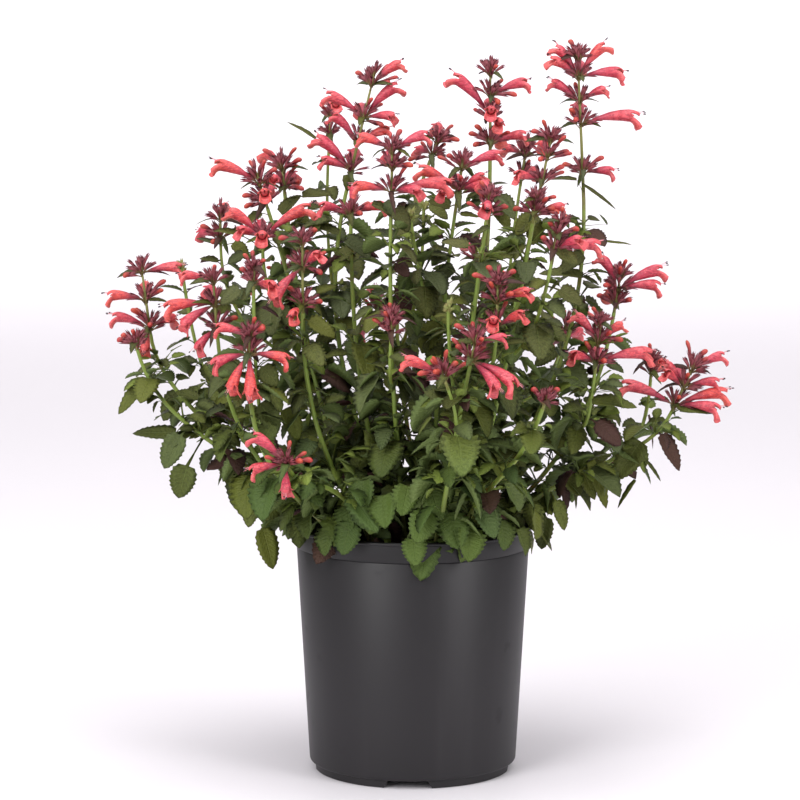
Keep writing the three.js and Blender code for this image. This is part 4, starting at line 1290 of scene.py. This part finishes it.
def cut_away(obj, cutters):
    """Takes the cutters out of a piece and removes them."""
    for cutter in cutters:
        modifier = obj.modifiers.new("cut", "BOOLEAN")
        modifier.object = cutter
        modifier.operation = "DIFFERENCE"
        modifier.solver = "EXACT"
        alone(obj)
        bpy.ops.object.modifier_apply(modifier=modifier.name)
        bpy.data.objects.remove(cutter)


def pot_outline(rim, height, wall):
    """Half outline of the pot: under its floor, round the foot, up the wall and the band, over the lip and
    down inside."""
    foot, band = FOOT_RADIUS, BAND_RADIUS
    outline = [(0, FOOT_HEIGHT), (foot - 3.4, FOOT_HEIGHT), (foot - 3, 0.6), (foot - 2.6, 0), (foot - 0.5, 0),
               (foot, 0.5), (foot + 0.3, FOOT_HEIGHT)]
    outline += arc((WALL_BOTTOM_RADIUS - 2, FOOT_HEIGHT + 2), 2, -80, 0, 5)
    outline += [(WALL_BOTTOM_RADIUS + 0.1, FOOT_HEIGHT + 3), (WALL_TOP_RADIUS - 0.1, BAND_BOTTOM - 1.6)]
    outline += arc((WALL_TOP_RADIUS + 0.1, BAND_BOTTOM - 0.9), 0.9, 180, 100, 3)[1:]
    outline += [(band - 0.2, BAND_BOTTOM), (band, BAND_BOTTOM + 0.4), (band + 0.15, height - 4.2)]
    outline += arc((rim - 1.3, height - 1.5), 1.45, -60, 90, 8)
    outline += [(rim - 2.2, height - 0.3), (rim - 2.5, height - 1.2), (WALL_TOP_RADIUS - wall, BAND_BOTTOM),
                (WALL_BOTTOM_RADIUS - wall, FOOT_HEIGHT + FLOOR), (0, FOOT_HEIGHT + FLOOR)]
    return outline


def notch_cutter(out, bearing):
    """A block across the foot, its lower half widened."""
    middle = out * FOOT_RADIUS * MM
    fresh()
    bpy.ops.mesh.primitive_cube_add(size=1, location=middle, rotation=(0, 0, bearing))
    notch = bpy.context.object
    edit(notch)
    bpy.ops.mesh.select_all(action="SELECT")
    bpy.ops.transform.resize(value=[side * MM for side in NOTCH_SIZE], center_override=middle)
    done(notch, "notch")
    edit(notch)
    pick(lambda co: co.z < 0)
    bpy.ops.transform.resize(value=(NOTCH_SPREAD, NOTCH_SPREAD, 1), center_override=middle)
    bpy.ops.object.mode_set(mode="OBJECT")
    return notch


def drain_cutter(out):
    """A rod through the pot's floor."""
    middle = out * DRAIN_RING * MM + Vector((0, 0, DRAIN_DEPTH / 2 * MM))
    fresh()
    bpy.ops.mesh.primitive_cylinder_add(
        vertices=32, radius=DRAIN_RADIUS * MM, depth=DRAIN_DEPTH * MM, location=middle)
    bpy.ops.object.transform_apply(location=True, rotation=True, scale=True)
    return bpy.context.object


def make_pot(settings):
    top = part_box("pot")[1]
    outline = pot_outline(top.x / MM, top.z / MM, settings.wall / MM)
    pot = spun("nursery_pot", outline, settings.sides)
    cutters = []
    for i in range(NOTCH_COUNT):
        bearing = math.radians(NOTCH_BEARING + i * 360 / NOTCH_COUNT)
        out = Vector((math.cos(bearing), math.sin(bearing), 0))
        cutters += [notch_cutter(out, bearing), drain_cutter(out)]
    cut_away(pot, cutters)
    alone(pot)
    bpy.ops.object.shade_smooth_by_angle(angle=math.radians(35))
    joined([pot], "nursery_pot", pot_material(settings), "pot")


def crumb_copies(outer, draw):
    """Crumbs strewn over the compost, each of its own size and turn."""
    fresh()
    bpy.ops.mesh.primitive_ico_sphere_add(subdivisions=1, radius=1)
    crumb = bpy.context.object
    form = corners_of(crumb.data)
    copies = []
    for _ in range(CRUMBS):
        radius, bearing = (outer - 4) * math.sqrt(draw()), draw() * 2 * math.pi
        size = np.array([mix(0.8, 3.2, draw() ** 2), mix(0.8, 2.4, draw() ** 2), mix(0.5, 1.5, draw())])
        turn = Matrix.Rotation(draw() * 6.3, 3, "Z") @ Matrix.Rotation(draw() - 0.5, 3, "X")
        level = mix(SOIL_EDGE + 1.5, SOIL_TOP + 0.2, 1 - radius / outer)
        middle = np.array([radius * math.cos(bearing), radius * math.sin(bearing), level])
        copies.append(copy_of(crumb, (form * size) @ np.array(turn).T + middle))
    remove([crumb])
    return copies


def make_compost(settings):
    low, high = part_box("potting_soil")
    bottom, outer = low.z / MM, high.x / MM
    surface = [(outer * (1 - i / SOIL_RINGS), mix(SOIL_EDGE, SOIL_TOP, min(1, i / 9)))
               for i in range(1, SOIL_RINGS)]
    outline = [(0, bottom), (SOIL_FOOT_RADIUS, bottom), (outer - 0.2, SOIL_EDGE), *surface, (0, SOIL_TOP)]
    soil = spun("compost", outline, SOIL_STEPS)
    draw = seeded_draw(41)
    for vertex in soil.data.vertices:
        if vertex.co.z > (SOIL_EDGE - 3) * MM and math.hypot(vertex.co.x, vertex.co.y) < (outer - 2) * MM:
            vertex.co.z += mix(-1.6, 0.9, draw()) * MM
    smooth(soil)
    pieces = [soil] + crumb_copies(outer, draw)
    joined(pieces, "compost", compost_material(settings), "potting_soil")


# Stems, leaves and flower heads


def make_stems(settings, plant):
    section = stem_section()
    material = stem_material(settings)
    stalks = {}
    for item in plant.shoots:
        branch = "start" in item["shoot"]
        width, end = (BRANCH_WIDTH, BRANCH_END_WIDTH) if branch else (STEM_WIDTH, STEM_END_WIDTH)
        copies = stalks.setdefault(item["shoot"]["stem"], [])
        copies.append(stalk_copy(item["way"], width, end, section))
    for name, copies in stalks.items():
        joined(copies, name + "_stalks", material, name)
    remove([section])


def axil_leaves(master, root, bearing, share, draw):
    """A few small leaves in the axil of a leaf, some of the shortest ones young and yellow-green."""
    copies = []
    for _ in range(2 + int(draw() * 3)):
        leaf = dict(at=root, bearing=bearing + mix(-70, 70, draw()), rise=mix(-55, 40, draw()),
                    roll=mix(-40, 40, draw()), petiole=mix(5, 20, draw()))
        length = mix(10, 24, draw()) * mix(1, 0.6, share)
        width = length * mix(0.6, 0.85, draw())
        kind = YOUNG if length < 16 and draw() < 0.6 else kind_of(draw)
        copies.append(placed_leaf(master, root, leaf_frame(leaf), length, width, AXIL_ARCH, draw, kind))
    return copies


def kind_of(draw, purple_share=PURPLE_SHARE):
    return PURPLE if draw() < purple_share else GREEN


def shoot_foliage(item, broad, plain, small, settings):
    """The leaves of a shoot: those of the solids, and the pairs and small leaves between them."""
    draw = seeded_draw(104729 + 31 * item["index"])
    way, shoot = item["way"], item["shoot"]
    copies = []
    for leaf in item["leaves"]:
        copies.append(placed_leaf(
            broad, leaf["root"], leaf["frame"], leaf["length"] * BLADE_SHARE, leaf["width"], leaf["arch"],
            draw, kind_of(draw)))
        if draw() < settings.axil_share:
            copies += axil_leaves(small, leaf["root"], leaf["bearing"], leaf["share"], draw)
    first = BRANCH_EXTRA_PAIR if "start" in shoot else FIRST_EXTRA_PAIR
    pairs = max(2, round(way.length * (LAST_EXTRA_PAIR - first) / PAIR_SPACING))
    phase = draw() * 180
    for pair in range(pairs):
        share = mix(first, LAST_EXTRA_PAIR, (pair + 0.5) / pairs)
        root = way.point(share)
        for turn in (0, 180):
            length = LEAF_LENGTH * mix(0.84, 0.42, share ** 1.5) * mix(0.72, 1.08, draw())
            leaf = dict(at=root, bearing=phase + 90 * pair + turn + mix(-25, 25, draw()),
                        rise=mix(-50, 10, share) + mix(-24, 24, draw()), roll=mix(-35, 35, draw()),
                        petiole=mix(17, 4, share))
            width = length * mix(0.9, 0.6, share)
            copies.append(placed_leaf(
                plain, root, leaf_frame(leaf), length, width, EXTRA_ARCH, draw, kind_of(draw)))
            if draw() < settings.axil_share * (1 - share):
                copies += axil_leaves(small, root, leaf["bearing"], share, draw)
    return copies


def make_leaves(settings, plant):
    broad = leaf_master("broad_leaf_master", TEETH, 4)
    plain = leaf_master("plain_leaf_master", PLAIN_TEETH, 2)
    small = leaf_master("small_leaf_master", SMALL_TEETH, 2)
    material = leaf_material(settings)
    leaves = {}
    for item in plant.shoots:
        copies = leaves.setdefault(item["shoot"]["stem"], [])
        copies += shoot_foliage(item, broad, plain, small, settings)
        copies += bracts(item, small)
    for owner, copy in (*rim_leaves(plant, broad), *measured_leaves(plant, broad, small)):
        leaves[owner].append(copy)
    for name, copies in leaves.items():
        joined(copies, name + "_leaves", material, name)
    remove((broad, plain, small))


def bracts(item, master):
    """Two narrow drooping leaves under each whorl of a head, the lowest ones the longest."""
    draw = seeded_draw(7 + item["index"])
    shoot, way = item["shoot"], item["way"]
    up = way.tangent(1)
    copies = []
    for whorl, (distance, _) in enumerate(shoot.get("whorls", ())):
        root = way.point(1) + up * (SEAT_GAP + distance - 3)
        bearing = draw() * 360
        for turn in (0, 180):
            length = mix(11, 17, draw()) if whorl else mix(17, 27, draw())
            face = 30 * math.cos(math.radians(bearing + turn))
            leaf = dict(at=root, bearing=bearing + turn, rise=mix(-5, 25, draw()),
                        roll=face + mix(-25, 25, draw()), petiole=3)
            width = mix(4, 6, draw())
            arch = mix(0.35, 0.65, draw())
            copies.append(placed_leaf(
                master, root, leaf_frame(leaf), length, width, arch, draw, kind_of(draw, BRACT_PURPLE_SHARE)))
    return copies


def nearest(roots, place):
    """The stem and the root on it that lie nearest to a place."""
    return min(roots, key=lambda pair: (pair[1] - place).length)


def rim_leaves(plant, master):
    """The leaves that hang over the rim, each on the nearest stem."""
    draw = seeded_draw(2027)
    front, back = -1, 1
    ring = [(*leaf, front) for leaf in RIM_LEAVES]
    for i in range(BACK_RIM_LEAVES):
        bearing = math.radians(mix(-8, 188, (i + 0.5 * draw()) / (BACK_RIM_LEAVES - 1)))
        ring.append((BACK_RIM_RADIUS * math.cos(bearing), mix(172, 204, draw()), mix(-25, 25, draw()),
                     mix(21, 28, draw()), back))
    roots = [(name, way.point(share)) for name, way in plant.ways.items() for share in (0.1, 0.16, 0.22, 0.3)]
    for x, z, turn, length, face in ring:
        radius = mix(88, 96, draw())
        y = face * math.sqrt(max(0, radius ** 2 - min(abs(x), radius) ** 2))
        bearing = math.degrees(math.atan2(y, x))
        sway = Matrix.Rotation(math.radians(turn), 3, direction(bearing, 0))
        forward = sway @ direction(bearing, mix(-72, -56, draw()))
        side = sway @ direction(bearing - 90, 0)
        base = Vector((x, y, z)) - forward * length * 0.5
        owner, root = nearest(roots, base)
        frame_of_leaf = (base, forward, side, side.cross(forward))
        yield owner, placed_leaf(
            master, root, frame_of_leaf, length * BLADE_SHARE, length * 0.84, FLAT_ARCH, draw)


def measured_leaves(plant, broad, small):
    """The leaves of the measured table, each on the nearest point of a shoot."""
    draw = seeded_draw(3571)
    roots = [
        (item["shoot"]["stem"], item["way"].point(i / 50)) for item in plant.shoots for i in range(4, 50)]
    toward = Vector((0, -1, 0))
    for base, tip, width, face, kind in MEASURED_LEAVES:
        base, tip = Vector(base), Vector(tip)
        forward = (tip - base).normalized()
        owner, root = nearest(roots, base)
        level = forward.cross(toward)
        level = level if level.z > 0 else -level
        up = level * math.cos(math.radians(face)) + toward * math.sin(math.radians(face))
        frame_of_leaf = (base, forward, forward.cross(up), up)
        yield owner, placed_leaf(
            broad if width > WIDE_LEAF else small, root, frame_of_leaf, (tip - base).length, width, FLAT_ARCH,
            draw, kind)


def around_axis(upright, around, rise):
    """A direction by its turn about a shoot's axis and its rise from the level across it, in radians."""
    flat = Vector((math.cos(around), -math.sin(around), 0)) * math.cos(rise)
    return upright @ (flat + Vector((0, 0, math.sin(rise))))


class Head:
    """A flower head: the copies of its calyces and rachis in green, and of its flowers in flowers."""

    def __init__(self, item, masters, draw):
        self.masters, self.draw = masters, draw
        self.shoot, self.turns = item["shoot"], item["turns"]
        self.up = item["way"].tangent(1)
        self.foot = item["way"].point(1) + self.up * SEAT_GAP
        self.upright = Vector((0, 0, 1)).rotation_difference(self.up)
        self.green, self.flowers = [], []
        self.add_rachis()
        for whorl, (distance, radius) in enumerate(self.shoot["whorls"]):
            centre = self.foot + self.up * distance
            self.add_whorl(whorl, centre, radius)
            for _, bearing, rise, reach in [bloom for bloom in self.shoot["blooms"] if bloom[0] == whorl]:
                self.add_bloom(centre, bearing, rise, reach)
            if draw() < EXTRA_BLOOM_SHARE:
                self.add_bloom(
                    centre - self.up * 2, mix(190, 350, draw()), mix(-15, 35, draw()), mix(17, 24, draw()))
        self.add_tip()

    def add_rachis(self):
        rachis = self.masters["rachis"]
        places = tube_places(rachis, self.foot - self.up * 2, self.up, self.shoot["tall"] - 4, 1)
        self.green.append(copy_of(rachis, places, (0.5, GREEN_STALK)))

    def add_calyx(self, start, out, length, thickness, bow):
        calyx = self.masters["calyx"]
        places = tube_places(calyx, start, out, length, thickness, bow)
        self.green.append(copy_of(calyx, places, (self.draw(), PLUM_CALYX)))

    def add_flower(self, name, start, out, length, thickness, kind, bow=0.0, roll=0.0):
        master = self.masters[name]
        places = tube_places(master, start, out, length, thickness, bow, roll)
        self.flowers.append(copy_of(master, places, (self.draw(), kind)))

    def add_whorl(self, whorl, centre, radius):
        """A ring of calyces, high and low by turns, with others among them and a few buds."""
        draw = self.draw
        for spoke in range(CALYX_SPOKES + EXTRA_CALYCES):
            if spoke < CALYX_SPOKES:
                around = spoke / CALYX_SPOKES * 2 * math.pi + self.turns[whorl]
                rise, reach = (1.0, 1.0) if spoke % 2 == 0 else (0.5, 0.95)
            else:
                around = draw() * 2 * math.pi
                rise, reach = mix(0.2, 1.3, draw()), mix(0.65, 1.0, draw())
            out = around_axis(self.upright, around, rise + mix(-0.14, 0.14, draw()))
            length = min(12, radius + 1) * reach
            start = centre - self.up * mix(1, 4, draw()) + out * length * 0.32
            bow = mix(0.1, 0.35, draw())
            self.add_calyx(start, out, length * 0.96, mix(0.7, 0.9, draw()), bow)
            if draw() < EXTRA_BUD_SHARE:
                self.add_flower("bud", start, out, length * mix(1.25, 1.6, draw()), 0.8, BUD, bow)

    def add_bloom(self, centre, bearing, rise, reach):
        """A flower with its calyx, throat and stamens, or a bud where it reaches less."""
        draw = self.draw
        out = direction(bearing, rise)
        start = centre + out * 3 - self.up
        self.add_calyx(start, out, min(11.5, reach * 0.55), 1.1, BLOOM_BOW)
        if reach < FLOWER_MIN:
            self.add_flower("bud", start, out, reach - 3, 1.05, BUD, BLOOM_BOW)
            return
        length = reach - 2
        size = mix(1.0, 1.35, min(1, (reach - FLOWER_MIN) / 16))
        roll = mix(-FLOWER_ROLL, FLOWER_ROLL, draw())
        self.add_flower("corolla", start, out, length, size, OPEN_FLOWER, BLOOM_BOW, roll)
        side = direction(bearing - 90, 0)
        rise_way = side.cross(out)
        over = Quaternion(out, math.radians(roll)) @ rise_way
        throat = start + out * length * 0.45 + rise_way * BLOOM_BOW * length * 0.25
        self.add_flower("bud", throat, out - rise_way * 0.08, length * 0.36, size * 1.3, OPEN_FLOWER)
        hood = start + out * length * 0.76 + rise_way * BLOOM_BOW * length * 0.16 + over * 1.6 * size
        for k in range(STAMENS):
            across = side * (k - (STAMENS - 1) / 2)
            aim = out + over * mix(-0.2, 0.05, draw()) + across * mix(0.03, 0.12, draw())
            reach_out = length * 0.22 + mix(1.5, 4, draw())
            self.add_flower("stamen", hood + across * 0.5, aim, reach_out, 0.8, STAMEN, 0.1)

    def add_tip(self):
        """The youngest calyces, the first of them upright."""
        draw = self.draw
        for k in range(TIP_CALYCES):
            rise, lift = (1.5, 3) if k == 0 else (mix(0.85, 1.25, draw()), 0)
            out = around_axis(self.upright, k * TIP_TURN + draw(), rise)
            start = self.foot + self.up * (self.shoot["tall"] - mix(10, 13, draw())) + out * 2
            self.add_calyx(start + self.up * lift, out, mix(7.5, 10, draw()), 0.85, 0.2)


def green_tip(way, calyx, draw):
    """The tip of a shoot that has not flowered: a small knot of green buds."""
    upright = Vector((0, 0, 1)).rotation_difference(way.tangent(1))
    copies = []
    for k in range(GREEN_TIP_CALYCES):
        out = around_axis(upright, k * TIP_TURN + draw(), mix(0.2, 1.4, draw()))
        start = way.point(1) - way.tangent(1) * mix(0, 4, draw())
        places = tube_places(calyx, start, out, mix(4, 8, draw()), 0.75)
        copies.append(copy_of(calyx, places, (draw(), mix(0.6, 1, draw()))))
    return copies


def make_flowers(settings, plant):
    masters = dict(calyx=calyx_master(), bud=bud_master(), corolla=corolla_master(), stamen=stamen_master(),
                   rachis=rachis_master())
    plum, coral = calyx_material(settings), flower_material(settings)

    def join_both(node, green, flowers):
        """Makes the two pieces of a head, or of a stem's minor heads and green tips."""
        joined(green, node + "_calyces", plum, node)
        if flowers:
            joined(flowers, node + "_corollas", coral, node)
    on_stems = {}
    for item in plant.shoots:
        shoot = item["shoot"]
        draw = seeded_draw(15485863 + 17 * item["index"])
        if "whorls" in shoot:
            head = Head(item, masters, draw)
            green, flowers = head.green, head.flowers
        else:
            green, flowers = green_tip(item["way"], masters["calyx"], draw), []
        if "head" in shoot:
            join_both(shoot["head"], green, flowers)
        else:
            both = on_stems.setdefault(shoot["stem"], ([], []))
            both[0].extend(green)
            both[1].extend(flowers)
    for node, (green, flowers) in on_stems.items():
        join_both(node, green, flowers)
    remove(masters.values())


# Stage


def soft_light(name, place, aim, size, power):
    light = bpy.data.lights.new(name, "AREA")
    light.shape = "RECTANGLE"
    light.size, light.size_y = size
    light.energy = power
    obj = bpy.data.objects.new(name, light)
    bpy.context.collection.objects.link(obj)
    obj.location = place
    obj.rotation_euler = (Vector(aim) - Vector(place)).to_track_quat("-Z", "Y").to_euler()


def make_floor():
    """A floor that runs up into a wall behind the plant in one round bend."""
    width, depth = FLOOR_SIZE
    fresh()
    bpy.ops.mesh.primitive_plane_add(size=1)
    floor = bpy.context.object
    edit(floor)
    bpy.ops.mesh.select_all(action="SELECT")
    bpy.ops.transform.resize(value=(width, depth, 1), center_override=(0, 0, 0))
    mesh = bmesh.from_edit_mesh(floor.data)
    bpy.ops.mesh.select_mode(type="EDGE")
    bpy.ops.mesh.select_all(action="DESELECT")
    for side in mesh.edges:
        side.select_set(all(v.co.y > depth / 2 - 1 for v in side.verts))
    bmesh.update_edit_mesh(floor.data)
    bends = [math.radians(90 * i / WALL_BEND_STEPS) for i in range(WALL_BEND_STEPS + 1)]
    for a, b in zip(bends, bends[1:]):
        step = (0, WALL_BEND * (math.sin(b) - math.sin(a)), WALL_BEND * (math.cos(a) - math.cos(b)))
        bpy.ops.mesh.extrude_region_move(TRANSFORM_OT_translate=dict(value=step))
    bpy.ops.mesh.extrude_region_move(TRANSFORM_OT_translate=dict(value=(0, 0, WALL_RISE)))
    bpy.ops.mesh.select_mode(type="VERT")
    done(floor, "studio_floor")
    smooth(floor)
    floor.data.materials.append(studio_material())


def make_camera(settings):
    camera = bpy.data.cameras.new("camera")
    camera.lens = settings.lens
    camera.sensor_width = CAMERA_SENSOR
    view = bpy.data.objects.new("camera", camera)
    bpy.context.collection.objects.link(view)
    view.location = (CAMERA_SHIFT, -settings.camera_distance, settings.camera_height)
    aim = Vector((CAMERA_SHIFT, 0, CAMERA_AIM_HEIGHT))
    view.rotation_euler = (aim - view.location).to_track_quat("-Z", "Y").to_euler()
    bpy.context.scene.camera = view


def make_stage(settings):
    make_floor()
    for light in LIGHTS:
        soft_light(*light)
    world = bpy.data.worlds.new("studio air")
    world.use_nodes = True
    air = world.node_tree.nodes["Background"].inputs
    air["Color"].default_value = (1, 1, 1, 1)
    air["Strength"].default_value = AIR_LIGHT
    bpy.context.scene.world = world
    bpy.context.scene.view_settings.view_transform = "Standard"
    make_camera(settings)


# Operators


class AGASTACHE_OT_stage(bpy.types.Operator):
    """Adds the plain floor, the soft lights and the camera"""
    bl_idname = "agastache.stage"
    bl_label = "Stage"

    def execute(self, context):
        make_stage(context.scene.agastache_stage)
        return {"FINISHED"}


class AGASTACHE_OT_pot(bpy.types.Operator):
    """Models the nursery pot"""
    bl_idname = "agastache.pot"
    bl_label = "Pot"

    def execute(self, context):
        make_pot(context.scene.agastache_pot)
        return {"FINISHED"}


class AGASTACHE_OT_compost(bpy.types.Operator):
    """Models the compost with its crumbs"""
    bl_idname = "agastache.compost"
    bl_label = "Compost"

    def execute(self, context):
        make_compost(context.scene.agastache_pot)
        return {"FINISHED"}


class AGASTACHE_OT_stems(bpy.types.Operator):
    """Models the square stems and their branches"""
    bl_idname = "agastache.stems"
    bl_label = "Stems"

    def execute(self, context):
        make_stems(context.scene.agastache_foliage, Plant())
        return {"FINISHED"}


class AGASTACHE_OT_leaves(bpy.types.Operator):
    """Models a toothed leaf and places its copies on the stems"""
    bl_idname = "agastache.leaves"
    bl_label = "Leaves"

    def execute(self, context):
        make_leaves(context.scene.agastache_foliage, Plant())
        return {"FINISHED"}


class AGASTACHE_OT_flowers(bpy.types.Operator):
    """Models the calyces, flowers, buds and stamens and places them on the heads"""
    bl_idname = "agastache.flowers"
    bl_label = "Flower heads"

    def execute(self, context):
        make_flowers(context.scene.agastache_flowers, Plant())
        return {"FINISHED"}


class AGASTACHE_PT_panel(bpy.types.Panel):
    bl_label = "Potted agastache"
    bl_idname = "AGASTACHE_PT_panel"
    bl_space_type = "VIEW_3D"
    bl_region_type = "UI"
    bl_category = "Agastache"

    def draw(self, context):
        for operator in OPERATORS:
            self.layout.operator(operator.bl_idname)
        for group in GROUPS:
            settings = getattr(context.scene, group)
            for key in type(settings).__annotations__:
                self.layout.prop(settings, key)


OPERATORS = (AGASTACHE_OT_stage, AGASTACHE_OT_pot, AGASTACHE_OT_compost, AGASTACHE_OT_stems,
             AGASTACHE_OT_leaves, AGASTACHE_OT_flowers)
GROUPS = {
    "agastache_pot": AgastachePotSettings,
    "agastache_foliage": AgastacheFoliageSettings,
    "agastache_flowers": AgastacheFlowerSettings,
    "agastache_stage": AgastacheStageSettings,
}


def register():
    for cls in (*GROUPS.values(), *OPERATORS, AGASTACHE_PT_panel):
        bpy.utils.register_class(cls)
    for key, group in GROUPS.items():
        setattr(bpy.types.Scene, key, PointerProperty(type=group))


def unregister():
    for key in GROUPS:
        delattr(bpy.types.Scene, key)
    for cls in reversed((*GROUPS.values(), *OPERATORS, AGASTACHE_PT_panel)):
        bpy.utils.unregister_class(cls)


def main():
    register()
    for operator in OPERATORS:
        space, name = operator.bl_idname.split(".")
        getattr(getattr(bpy.ops, space), name)()


if __name__ == "__main__":
    main()
